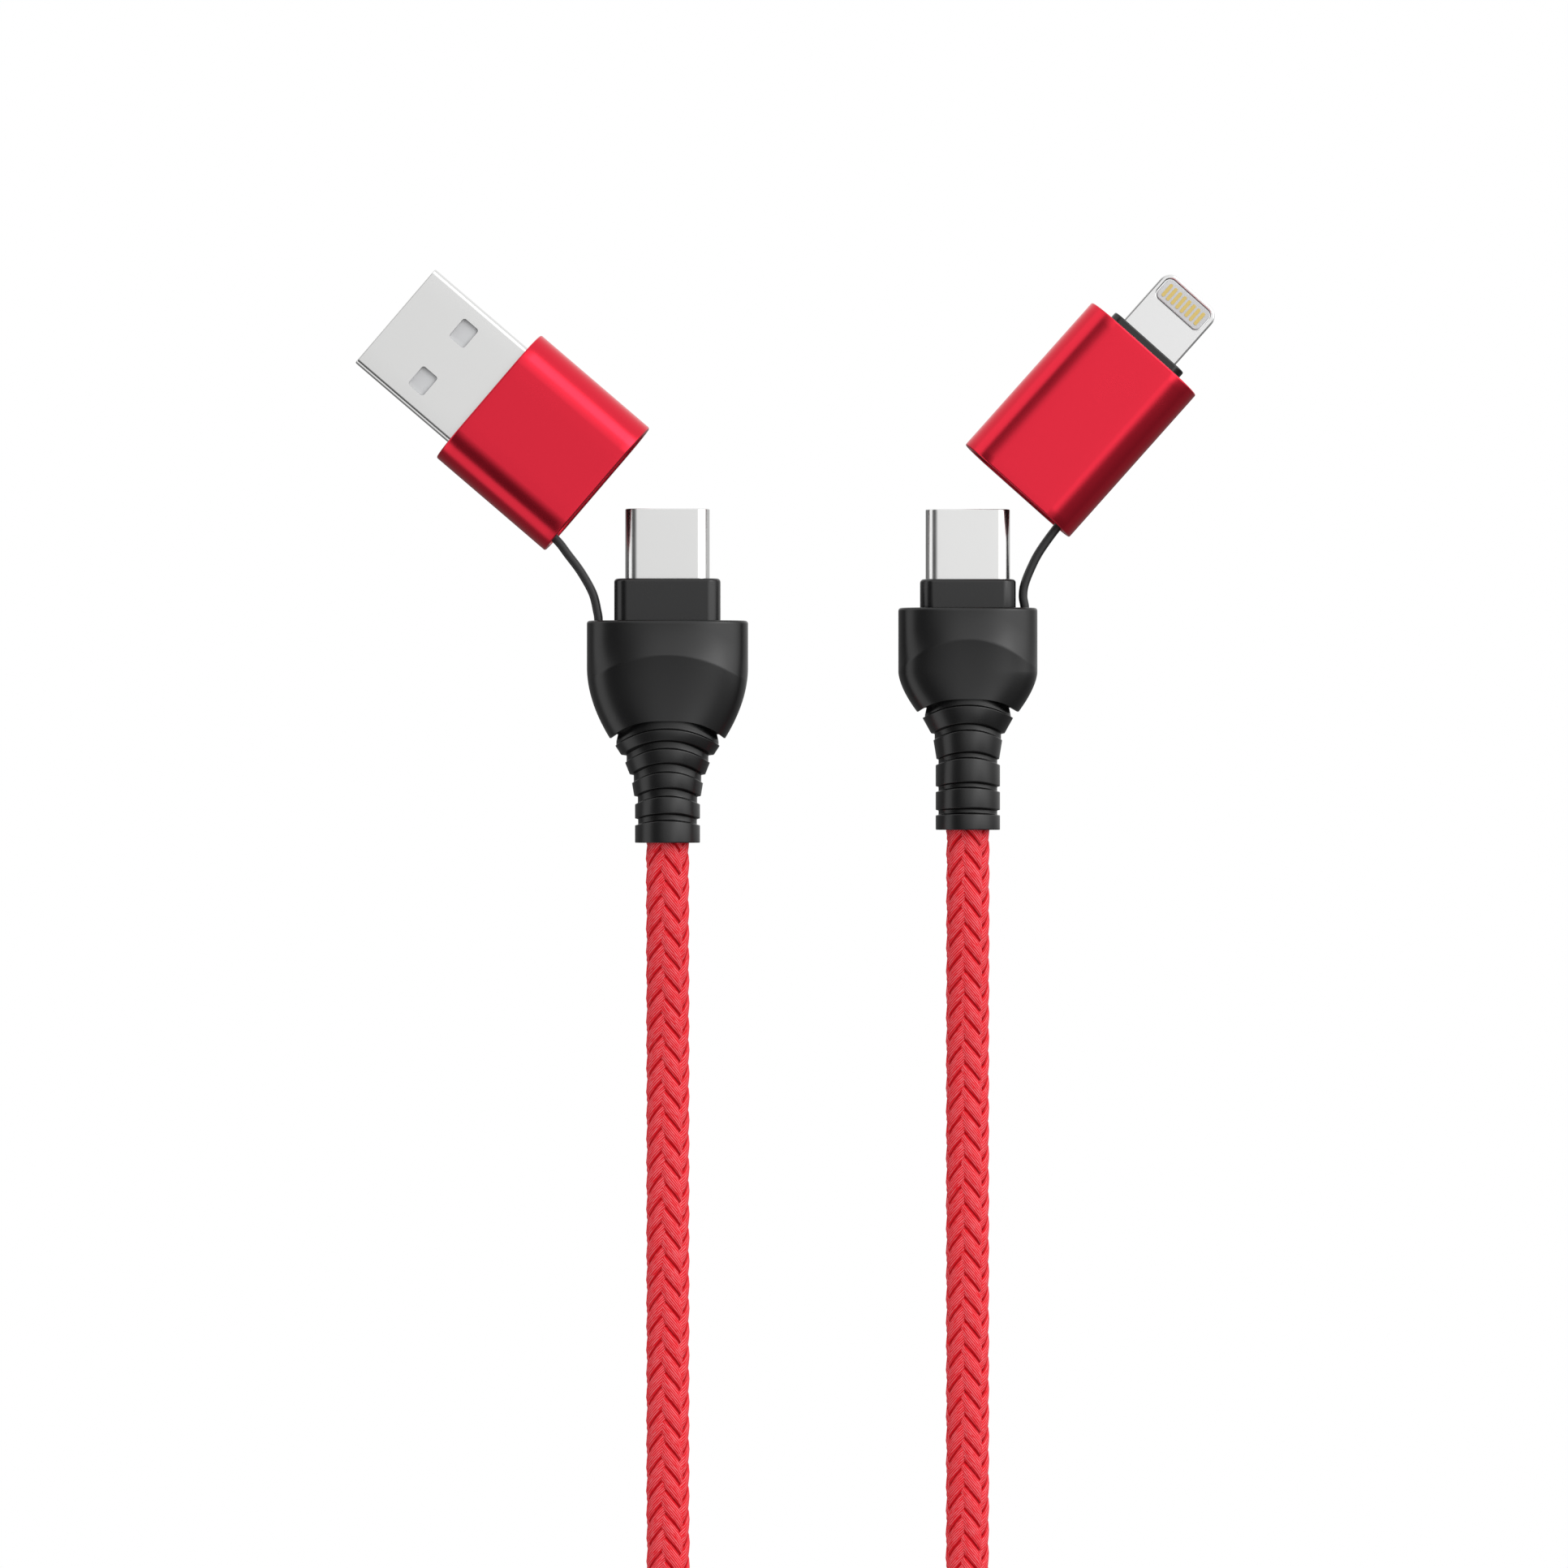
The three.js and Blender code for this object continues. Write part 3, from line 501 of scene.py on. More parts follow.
def rounded_corner(corner_y: float, corner_inset: float, radius: float, start: float,
                   end: float, steps: int = 5) -> Array:
    """An arc of (y, inset) about a centre, from one angle to another in quarter turns.

    y is the centre's plus radius times the sine, and inset is the centre's less radius times
    the cosine, so that angle 0 faces outwards and 1 faces the tip.
    """
    turn = np.linspace(start, end, steps) * np.pi / 2
    return np.stack([corner_y + radius * np.sin(turn), corner_inset - radius * np.cos(turn)], axis=1)


def through_points(knots: Array, steps: int) -> Array:
    """A Catmull-Rom curve through points, with that many steps a span.

    Each span is the cubic whose ends are two knots and whose slopes there are half the gap
    between the knots on either side.
    """
    ends = np.concatenate([[2 * knots[0] - knots[1]], knots, [2 * knots[-1] - knots[-2]]])
    t = np.linspace(0, 1, steps + 1)[:-1][None, :, None]
    p0, p1, p2, p3 = (ends[k:len(ends) - 3 + k][:, None, :] for k in range(4))
    curve = 0.5 * (2 * p1 + (p2 - p0) * t + (2 * p0 - 5 * p1 + 4 * p2 - p3) * t ** 2
                   + (3 * p1 - p0 - 3 * p2 + p3) * t ** 3)
    return np.concatenate([curve.reshape(-1, knots.shape[1]), knots[-1:]])


@dataclass
class EndFrame:
    """Where an end's own frame stands in the row frame, in millimetres."""

    origin: tuple[float, float, float]
    turn: float = 0.0

    def place(self, points: Array) -> Array:
        """Turns the points about z, moves them to the origin and gives them in metres."""
        c, s = math.cos(self.turn), math.sin(self.turn)
        x, y, z = points[..., 0], points[..., 1], points[..., 2]
        moved = np.stack([c * x - s * y, s * x + c * y, z], axis=-1) + np.asarray(self.origin)
        return moved * MM


def shifted(faces: Sequence, by: int) -> list:
    """Faces with their indices moved along by a number of points."""
    return [[index + by for index in face] for face in faces]


def wall_tube(width: float, height: float, radius: float, wall: Array, arc: int = 16) -> Array:
    """Carries a (y, inset) wall profile round a rectangle with round corners.

    Point (i, j) is point j of the outline shrunk by inset i, at the y of profile point i.
    """
    section = rounded_outline(width, height, radius, wall[:, 1], arc)
    y = np.repeat(wall[:, :1], section.shape[1], axis=1)
    return np.stack([section[..., 0], y, section[..., 1]], axis=-1)


def tube_wall(back: float, front: float, thickness: float, edge: float) -> Array:
    """The closed wall profile of an open tube: outer face, rounded lips and inner face."""
    edge = min(edge, thickness / 2 - 1e-3)
    return np.concatenate([
        rounded_corner(back + edge, edge, edge, -1, 0),
        rounded_corner(front - edge, edge, edge, 0, 1),
        rounded_corner(front - edge, thickness - edge, edge, 1, 2),
        rounded_corner(back + edge, thickness - edge, edge, 2, 3),
    ])


def solid_profile(back: float, front: float, edge: float, deep: float) -> Array:
    """The (y, inset) profile of a solid bar: in from a cap, round both edges, in to a cap."""
    return np.concatenate([
        [[back, deep]], rounded_corner(back + edge, edge, edge, -1, 0),
        rounded_corner(front - edge, edge, edge, 0, 1), [[front, deep]]])


def rounded_line(corners: Sequence[Sequence[float]], radius: float, steps: int = 4) -> Array:
    """A polyline with its inner corners rounded.

    Each corner becomes the quadratic curve from a point before it to a point after it, both no
    further away than the radius or just under half the neighbouring span.
    """
    points = np.asarray(corners, float)
    before, at, after = points[:-2], points[1:-1], points[2:]

    def towards(other: Array) -> Array:
        """The point on the way from each corner to its neighbour where its curve starts."""
        gap = other - at
        span = np.linalg.norm(gap, axis=1, keepdims=True)
        return at + gap * np.minimum(radius / span, 0.48)

    start, end = towards(before)[:, None], towards(after)[:, None]
    t = np.linspace(0, 1, steps + 1)[None, :, None]
    curve = (1 - t) ** 2 * start + 2 * t * (1 - t) * at[:, None] + t ** 2 * end
    return np.concatenate([points[:1], curve.reshape(-1, points.shape[1]), points[-1:]])


def smooth_step(value: Array) -> Array:
    """0 below 0, 1 above 1, and a smooth S between."""
    value = np.clip(value, 0, 1)
    return value * value * (3 - 2 * value)


def signed_power(value: Array, power: float) -> Array:
    """A power of the value's size, with the value's sign."""
    return np.sign(value) * np.abs(value) ** power


# ---------------------------------------------------------------------------
# The cord
# ---------------------------------------------------------------------------
class CentreLine:
    """A line in space, with a side and an up direction at every point."""

    def __init__(self, line: Array) -> None:
        """Measures the line. Its side is level, and up is square to the line and the side."""
        step = np.linalg.norm(np.diff(line, axis=0), axis=1)
        self.length_at = np.concatenate([[0], np.cumsum(step)])
        self.length = float(self.length_at[-1])
        along = np.gradient(line, self.length_at, axis=0)
        along /= np.linalg.norm(along, axis=1, keepdims=True)
        side = np.cross(along, [0.0, 0.0, 1.0])
        side /= np.linalg.norm(side, axis=1, keepdims=True)
        self.table = np.concatenate([line, side, np.cross(side, along)], axis=1)

    def sweep(self, s: Array, angle: Array, radius: Array) -> Array:
        """Points at arc length s, at an angle from the side towards up, out at a radius."""
        s = np.clip(s, 0, self.length)
        at = [np.interp(s, self.length_at, column) for column in self.table.T]
        centre, across, rise = (np.stack(at[k:k + 3], axis=-1) for k in (0, 3, 6))
        return centre + radius[..., None] * (np.cos(angle)[..., None] * across
                                             + np.sin(angle)[..., None] * rise)


@dataclass
class Cord:
    """The braided cord: two legs, and a coil of the rest held by a tie.

    The route's numbers are those of the model's source, in millimetres from the table under
    the middle of the two cord exits.
    """

    diameter: float = 4.25
    lay: float = 13.8
    carriers: int = 6
    ribbon: float = 1.66
    shown: float = 74.0
    into_boot: float = 1.0
    column: tuple[float, float] = (105.0, 75.0)
    under: float = 0.40
    lift: float = 0.15
    crown: float = 0.26
    sharpness: float = 4.5
    wrap_radius: float = 1.9
    core_rings: int = 420
    core_sides: int = 8
    core_depth: float = 0.62
    coil_pitch: float = 4.35
    coil_radius: float = 29.3
    turns_low: float = 3.0
    turns_high: float = 2.5
    coil_at: tuple[float, float] = (0.0, -112.4)
    tie_lift: float = 1.1
    host_leg: tuple = (
        (-14.685, -0.93, 4.1), (-14.685, -5, 4.02), (-14.685, -10, 3.55), (-14.685, -16, 2.75),
        (-14.685, -22, 2.27), (-14.685, -29, 2.15), (-14.685, -38, 2.15), (-14.685, -47, 2.15),
        (-14.685, -56, 2.15), (-14.685, -65, 2.15), (-14.685, -72.4, 2.15), (-15.12, -77.5, 2.15),
        (-16.4, -82.4, 2.15), (-18.6, -87.4, 2.15), (-22, -92.4, 2.15),
        (-25.38, -97.4, 2.15), (-27.58, -102.4, 2.15), (-28.87, -107.3, 2.15))
    phone_leg: tuple = (
        (14.685, 0.33, 3.75), (14.685, -5, 3.68), (14.685, -10, 3.35), (14.685, -16, 2.7),
        (14.685, -22, 2.27), (14.685, -29, 2.15), (14.685, -38, 2.15), (14.685, -47, 2.15),
        (14.685, -56, 2.15), (14.685, -65, 2.15), (14.685, -72.4, 2.15), (15.06, -77.5, 2.15),
        (16.14, -82.4, 2.2), (18.02, -87.4, 2.5), (20.9, -92.4, 3.2),
        (23.77, -97.4, 4.3), (25.66, -102.4, 5.4), (26.76, -107.3, 6.2))
    origin: tuple[float, float, float] = field(init=False)

    def __post_init__(self) -> None:
        """Sets the route's origin from the two legs' solids."""
        legs = [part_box("cord_host_leg"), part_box("cord_phone_leg")]
        middle = (legs[0][1][0] + legs[1][0][0]) / 2 / MM
        self.origin = (middle, legs[0][1][1] / MM - self.host_leg[0][1], 0.0)

    def coil(self) -> Array:
        """The coil's centre line.

        The radius falls by one pitch a turn on the lower layer and grows again on the upper
        one. The height is half a diameter, plus a smooth step to the upper layer at the inner
        turn, plus a smooth hump where the turns pass over the tie.
        """
        turns = self.turns_low + self.turns_high
        turn = np.linspace(0, turns, int(turns * 40) + 1)
        low = self.turns_low
        radius = self.coil_radius - self.coil_pitch * np.where(turn < low, turn, 2 * low - turn)
        climb = smooth_step((turn - low + 0.12) / 0.42)
        angle = np.pi + turn * math.tau
        from_tie = np.abs((angle - 1.5 * np.pi + np.pi) % math.tau - np.pi)
        hump = np.cos(np.clip(from_tie / math.radians(70), 0, 1) * np.pi / 2) ** 2
        height = self.diameter * (0.5 + climb) + self.tie_lift * hump + 0.02
        return np.stack([self.coil_at[0] + radius * np.cos(angle),
                         self.coil_at[1] + radius * np.sin(angle), height], axis=1)

    def route(self) -> Array:
        """Every point of the centre line, from inside one boot to inside the other, in mm."""
        knots = np.concatenate([np.array(self.host_leg), self.coil(),
                                np.array(self.phone_leg)[::-1]]) + np.asarray(self.origin)
        knots[[0, -1], 1] += self.into_boot
        return through_points(knots, 8)

    def build(self) -> bpy.types.Object:
        """Returns the cord's object."""
        line = self.route()
        path = CentreLine(line)
        points, faces, uvs = self.weave(path)
        core = self.core(path)
        faces += shifted(capped_faces(*core.shape[:2]), len(points))
        core = core.reshape(-1, 3)
        cord = new_piece("braided_cord", np.concatenate([points, core]) * MM, faces, Slot.BRAID,
                         "cable", ["cord_host_leg", "cord_phone_leg", "cord_coil"])
        layer = cord.data.uv_layers.new(name="yarn")
        vertex = np.empty(len(cord.data.loops), int)
        cord.data.loops.foreach_get("vertex_index", vertex)
        uvs = np.concatenate([uvs, np.zeros((len(core), 2))])
        layer.data.foreach_set("uv", uvs[vertex].ravel())
        tie = self.build_tie()
        LOG.info("cord length %.1f mm", path.length)
        return cord

    def core(self, path: CentreLine) -> Array:
        """The rings of the core under the ribbons."""
        s = np.linspace(0.05, path.length - 0.05, self.core_rings)[:, None]
        angle = (np.arange(self.core_sides) / self.core_sides * math.tau)[None, :]
        s, angle = np.broadcast_arrays(s, angle)
        return path.sweep(s, angle, np.full(s.shape, self.diameter / 2 - self.core_depth))

    def weave(self, path: CentreLine) -> tuple[Array, list, Array]:
        """Two families of ribbons that wind opposite ways round the cord.

        A ribbon's middle is at angle start plus or minus a full turn every lay. One family
        lies on top wherever the cosine of three times the angle from a column's middle is
        positive, and the other wherever it is negative, so that floats line up in columns and
        meet in chevrons. The columns turn by a smooth step within the coil, so that two of them
        are uppermost on both legs. A ribbon's face is crowned by a power of one less the square
        of its width.

        Args:
            path: the centre line to wind round.

        Returns:
            Points, faces, and UVs for each point.
        """
        leg, length = self.shown, path.length
        fine, coarse = self.lay / 30, self.lay / 13
        stations = np.concatenate([np.arange(0, leg, fine), np.arange(leg, length - leg, coarse),
                                   np.arange(length - leg, length, fine), [length]])
        across = np.array([-1.0, -0.55, 0.0, 0.55, 1.0])
        tilt = math.atan(math.pi * (self.diameter - 0.5) / self.lay)
        turned = smooth_step((stations - leg) / (length - 2 * leg))
        column = np.radians(self.column[0] + (self.column[1] - self.column[0]) * turned)[:, None]
        s = stations[:, None]
        w = across[None, :] * self.ribbon / 2
        crown = self.crown * (1 - across[None, :] ** 2) ** 0.8
        points, faces, uvs = [], [], []
        for family, sense in enumerate((-1.0, 1.0)):
            for k in range(self.carriers):
                start = k * math.tau / self.carriers + family * 0.2
                angle = start - sense * math.tau * s / self.lay + w * math.cos(tilt) / self.wrap_radius
                over = np.tanh(self.sharpness * np.cos(self.carriers / 2 * (angle - column)))
                radius = self.diameter / 2 - self.under - sense * self.lift * over + crown
                strip = path.sweep(s + sense * w * math.sin(tilt), angle, radius)
                before = len(points) * strip[..., 0].size
                faces += shifted(capped_faces(*strip.shape[:2]), before)
                points.append(strip.reshape(-1, 3))
                along = s / math.cos(tilt) + 7.3 * k
                uv = np.stack(np.broadcast_arrays((across[None, :] + 1) / 2, along), axis=-1)
                uvs.append(uv.reshape(-1, 2))
        return np.concatenate(points), faces, np.concatenate(uvs)

    def build_tie(self) -> bpy.types.Object:
        """A hook-and-loop strip round the coil: a thin band carried round a superellipse."""
        low, high = (np.array(corner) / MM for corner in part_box("cord_tie"))
        centre, half = (low + high) / 2, (high - low) / 2
        steps = 96
        turn = np.arange(steps) / steps * math.tau
        y, z = (signed_power(value, 0.3) for value in (np.cos(turn), np.sin(turn)))
        section = [(1, 0.12), (1, 0.78), (0.92, 0.9), (-0.92, 0.9), (-1, 0.78), (-1, 0.12),
                   (-0.92, 0.0), (0.92, 0.0)]
        rows = [np.stack([np.full(steps, x * half[0]), (half[1] - inset) * y,
                          (half[2] - inset) * z], axis=-1) for x, inset in section]
        points = (np.stack(rows) + centre) * MM
        return skin_piece("coil_tie", points, Slot.RUBBER, "cable", "cord_tie", tube=True)


# ---------------------------------------------------------------------------
# One end of the cable
# ---------------------------------------------------------------------------
@dataclass
class Head:
    """A moulded head: cover, ribbed strain relief, collar, C plug and the adapter's strap."""

    name: str
    adapter_body: str
    head_width: float
    head_height: float
    straight: float
    end: float
    end_width: float
    flank_power: float
    sag: float
    crease: float
    crease_drop: float
    crease_fade: float
    crease_depth: float
    end_drop: float
    collar: tuple[float, float, float]
    ribs: tuple
    necks: tuple
    strap: tuple
    plug_proud: float = 6.84
    plug: tuple[float, float] = (8.25, 2.4)
    plug_wall: float = 0.25
    boot_end: float = 21.7
    groove: float = 0.85
    collar_radius: float = 1.3
    fullness: float = 2.75
    lip: float = 0.28
    boot_half: tuple[float, float] = (3.18, 3.1)
    boot_taper: float = 0.24
    columns: int = 168
    space: EndFrame = field(init=False)

    def __post_init__(self) -> None:
        """Finds the head's own frame from its cover's solid."""
        low, high = (np.array(corner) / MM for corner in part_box(f"{self.name}_head_cover"))
        self.space = EndFrame(((low[0] + high[0]) / 2, high[1], (low[2] + high[2]) / 2))

    def build(self) -> None:
        """Builds every piece of the head."""
        self.build_cover()
        self.build_strain_relief()
        self.build_collar()
        self.build_plug()
        self.build_strap()

    def angles(self) -> tuple[Array, Array]:
        """Cosine and sine of the angles round a section, from +x towards +z."""
        turn = np.arange(self.columns) / self.columns * math.tau
        return np.cos(turn)[None, :], np.sin(turn)[None, :]

    def build_cover(self) -> None:
        """The head's cover.

        A section is a superellipse. Its half width is straight near the shoulder, then falls by
        a power of the way to the end. Its faces stand highest along an arc across the head, and
        drop on both sides of it, steeply at first and then ever less.
        """
        c, s = self.angles()
        rear = np.linspace(1, 0, 64)
        y = np.concatenate([-self.straight - (self.end - self.straight) * rear,
                            np.linspace(-self.straight, -self.lip, 72)[1:]])[:, None]
        share = np.clip((-y - self.straight) / (self.end - self.straight), 0, 1)
        half = self.head_width / 2
        width = half - (half - self.end_width / 2) * share ** self.flank_power
        crest = self.head_height / 2
        power = 2 / self.fullness
        x = width * signed_power(c, power)
        lifted = y + self.sag * share * s * s
        arc = -self.crease - self.crease_drop * (x / half) ** 2
        ahead = np.clip((lifted - arc) / self.crease_fade, 0, 1)
        behind = np.clip((arc - lifted) / (self.end - self.crease), 0, 1)
        face = crest * (1 - self.crease_depth * (1 - (1 - ahead) ** 2)
                        - self.end_drop * (1 - (1 - behind) ** 2))
        z = face * signed_power(s, power)
        shell = np.stack([x, lifted, z], axis=-1)
        tail, front, lip = shell[0], shell[-1], self.lip
        turn = np.linspace(0, 0.5, 6)[1:, None, None] * np.pi
        size = 1 - lip * (1 - np.cos(turn)) / np.array([half, crest * 0.93])
        shoulder = np.concatenate([front[None, :, :1] * size[..., :1],
                                   front[None, :, 1:2] + lip * np.sin(turn),
                                   front[None, :, 2:] * size[..., 1:]], axis=-1)
        collar_w, collar_h = self.collar[0] / 2 + 0.05, self.collar[1] / 2 + 0.05
        mouth = np.stack([collar_w * signed_power(c[0], 0.45), np.zeros_like(c[0]),
                          collar_h * signed_power(s[0], 0.45)], axis=-1)
        well = np.stack([mouth, mouth + [0, -0.5, 0], mouth * 0.4 + [0, -0.5, 0]])
        inner = np.stack([tail * [0.6, 1, 0.6] + [0, 0.45, 0], tail * [0.93, 1, 0.93] + [0, 0.35, 0],
                          tail * [0.975, 1, 0.975]])
        points = np.concatenate([inner, shell, shoulder, well])
        skin_piece(f"{self.name}_moulded_head", self.space.place(points), Slot.BLACK_MOULDING,
                   "cable", f"{self.name}_head_cover")

    def build_strain_relief(self) -> None:
        """The ribbed boot.

        The outline has a step at each end of each rib, all rounded. Its half height grows with
        its half width, less the groove's depth between ribs. A section is nearly an ellipse, and
        its middle is carried towards the tip by the sag times the square of the sine, which bows
        the grooves and fades towards the cord.
        """
        def corner(place: float, half: float, groove: float = 0) -> tuple[float, float, float]:
            """The y, half width and half height at one corner of the outline."""
            at, height = self.boot_half
            return place, half, height + (half - at) * self.boot_taper - groove

        outline = [corner(1.0 - self.end, self.necks[0] / 2 - 0.3, self.groove),
                   corner(-0.3 - self.end, self.necks[0] / 2, self.groove)]
        for i, (wide_y, wide, narrow_y, narrow) in enumerate(self.ribs):
            outline += [corner(0.07 - wide_y, self.necks[i] / 2, self.groove),
                        corner(-wide_y, wide / 2), corner(-narrow_y, narrow / 2)]
            if i + 1 < len(self.ribs):
                outline.append(corner(-narrow_y - 0.07, self.necks[i + 1] / 2, self.groove))
        tail = -self.boot_end
        outline += [(tail, 2.2, 2.2), (tail + 1.6, 2.16, 2.16), (tail + 1.6, 1.0, 1.0)]
        line = rounded_line(outline, 0.1, 3)
        y, half, height = line[:, :1], line[:, 1:2], line[:, 2:]
        c, s = self.angles()
        fade = np.clip(1 - (-y - self.end) / 11.5, 0.12, 1)
        x = half * signed_power(c, 2 / 2.15)
        z = height * signed_power(s, 2 / 2.15)
        flat_end = smooth_step((y + self.boot_end) / 0.6)
        bowed = y + self.sag * fade * flat_end * s * s
        points = np.stack([x, bowed, z], axis=-1)[::-1]
        skin_piece(f"{self.name}_ribbed_boot", self.space.place(points), Slot.BLACK_MOULDING,
                   "cable", f"{self.name}_strain_relief", crease=50)

    def build_collar(self) -> None:
        """The block that the plug stands in: a rounded section with a rounded front edge."""
        width, height, proud = self.collar
        profile = solid_profile(-0.45, proud, 0.32, 0.9)
        points = wall_tube(width, height, self.collar_radius, profile)
        flatten_shading(skin_piece(f"{self.name}_plug_collar", self.space.place(points),
                                   Slot.BLACK_SATIN, "cable", f"{self.name}_collar"))

    def build_plug(self) -> None:
        """The C plug's shell: a full-round tube of sheet with a rounded lip."""
        tip = self.collar[2] + self.plug_proud
        profile = tube_wall(-0.3, tip, self.plug_wall, 0.09)
        points = wall_tube(*self.plug, self.plug[1] / 2, profile, 24)
        flatten_shading(skin_piece(f"{self.name}_c_plug", self.space.place(points),
                                   Slot.PLUG_STEEL, "cable", f"{self.name}_c_shell", tube=True))

    def build_strap(self) -> None:
        """The rubber strap: a rounded band on edge, carried along a smooth curve through points.

        Its section is a superellipse, and it curves from the head to its adapter.
        """
        line = through_points(np.array(self.strap, float), 8)
        along = np.gradient(line, axis=0)
        along /= np.linalg.norm(along, axis=1, keepdims=True)
        turn = np.arange(28) / 28 * math.tau
        half_thick, half_high = 0.425, 1.0
        off = half_thick * signed_power(np.cos(turn), 0.5)[None, :]
        z = half_high * signed_power(np.sin(turn), 0.5)[None, :] + 0 * line[:, :1]
        points = np.stack([line[:, :1] + along[:, 1:] * off, line[:, 1:] - along[:, :1] * off, z],
                          axis=-1)
        strap = skin_piece(f"{self.name}_rubber_strap", self.space.place(points), Slot.RUBBER, "",
                           f"{self.name}_strap")
        start = self.space.place(np.array([*self.strap[1], 0.0]))
        stop = self.space.place(np.array([*self.strap[-2], 0.0]))
        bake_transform(strap)


def host_head() -> Head:
    """The wider head, at the host's end."""
    return Head(
        name="host", adapter_body="host_adapter", head_width=15.76, head_height=8.2,
        straight=4.61, end=11.48, end_width=11.29, flank_power=1.9, sag=1.64, crease=3.4,
        crease_drop=2.6, crease_fade=3.0, crease_depth=0.085, end_drop=0.12,
        collar=(10.37, 5.0, 4.1),
        ribs=((12.22, 10.22, 13.11, 9.06), (13.87, 8.29, 15.02, 7.39),
              (15.87, 6.95, 17.14, 6.52), (17.94, 6.36, 19.33, 6.36), (20.0, 6.36, 21.7, 6.36)),
        necks=(10.0, 8.0, 6.6, 5.8, 5.75),
        strap=((-6.74, -1.8), (-6.74, 0), (-6.87, 0.95), (-7.32, 2.71), (-8.45, 4.75),
               (-9.69, 6.42), (-10.9, 7.95), (-13.25, 9.96)))


def phone_head() -> Head:
    """The slimmer head, at the phone's end."""
    return Head(
        name="phone", adapter_body="phone_adapter", head_width=13.6, head_height=7.5,
        straight=6.26, end=10.15, end_width=9.94, flank_power=1.6, sag=1.2, crease=3.1,
        crease_drop=3.0, crease_fade=2.8, crease_depth=0.07, end_drop=0.11,
        collar=(9.33, 4.6, 2.79),
        ribs=((10.76, 8.87, 12.26, 7.2), (12.94, 6.73, 14.77, 6.14), (15.37, 6.29, 17.44, 6.29),
              (18.0, 6.29, 19.75, 6.29), (20.29, 6.29, 21.7, 6.29)),
        necks=(8.4, 6.5, 5.75, 5.75, 5.75),
        strap=((5.57, -1.8), (5.57, 0), (5.4, 1.14), (5.57, 2.36), (6.25, 4.06), (7.1, 5.64),
               (8.69, 7.83), (10.3, 9.65)))


# ---------------------------------------------------------------------------
# The adapters
# ---------------------------------------------------------------------------
@dataclass
class Adapter:
    """What the two adapters share: a metal sleeve, swung about the middle of a strap."""

    body: str
    joint: str
    rest_degrees: float
    sleeve_start: float
    pivot: tuple[float, float]
    width: float
    height: float
    radius: float
    length: float
    hole: tuple[float, float]
    wall: float = 0.8
    space: EndFrame = field(init=False)

    def __post_init__(self) -> None:
        """Finds the adapter's own frame: y runs from the sleeve's open end to the tip."""
        joint = next(j for j in frame["record"]["behaviour"]["joints"] if j["name"] == self.joint)
        turn = math.radians(self.rest_degrees)
        away = (-self.pivot[0], self.sleeve_start - self.pivot[1])
        px, py, pz = (value / MM for value in joint["pos_m"])
        self.space = EndFrame((px + away[0] * math.cos(turn) - away[1] * math.sin(turn),
                             py + away[0] * math.sin(turn) + away[1] * math.cos(turn), pz), turn)

    def build_sleeve(self) -> None:
        """The sleeve: a rounded tube whose front turns in to a rim round the plug.

        The profile runs up the outside, over the front edge, along the front face to the rim,
        and back down inside. The outside and the pocket share one outline, and the rim's points
        are moved from that outline to the plug's hole.
        """
        edge = 0.16
        front = self.length
        outside = np.concatenate([rounded_corner(edge, edge, edge, -1, 0),
                                  [[y, 0.0] for y in np.linspace(1, front - 1, 8)],
                                  rounded_corner(front - edge, edge, edge, 0, 1)])
        inside = np.array([[front - self.wall, self.wall + 0.02], [1.0, self.wall],
                           [0.12, self.wall], [0.02, self.wall - 0.1]])
        outer, inner = (wall_tube(self.width, self.height, self.radius, profile)
                        for profile in (outside, inside))
        hole = rounded_outline(*self.hole, 0.5, np.zeros(2))
        rim = np.stack([hole[..., 0], np.array([[front], [front - self.wall]])
                        + 0 * hole[..., 0], hole[..., 1]], axis=-1)
        points = np.concatenate([outer, rim, inner])
        flatten_shading(skin_piece(f"{self.body}_metal_sleeve", self.space.place(points),
                                   Slot.RED_ALUMINIUM, self.body, f"{self.body}_sleeve",
                                   tube=True))


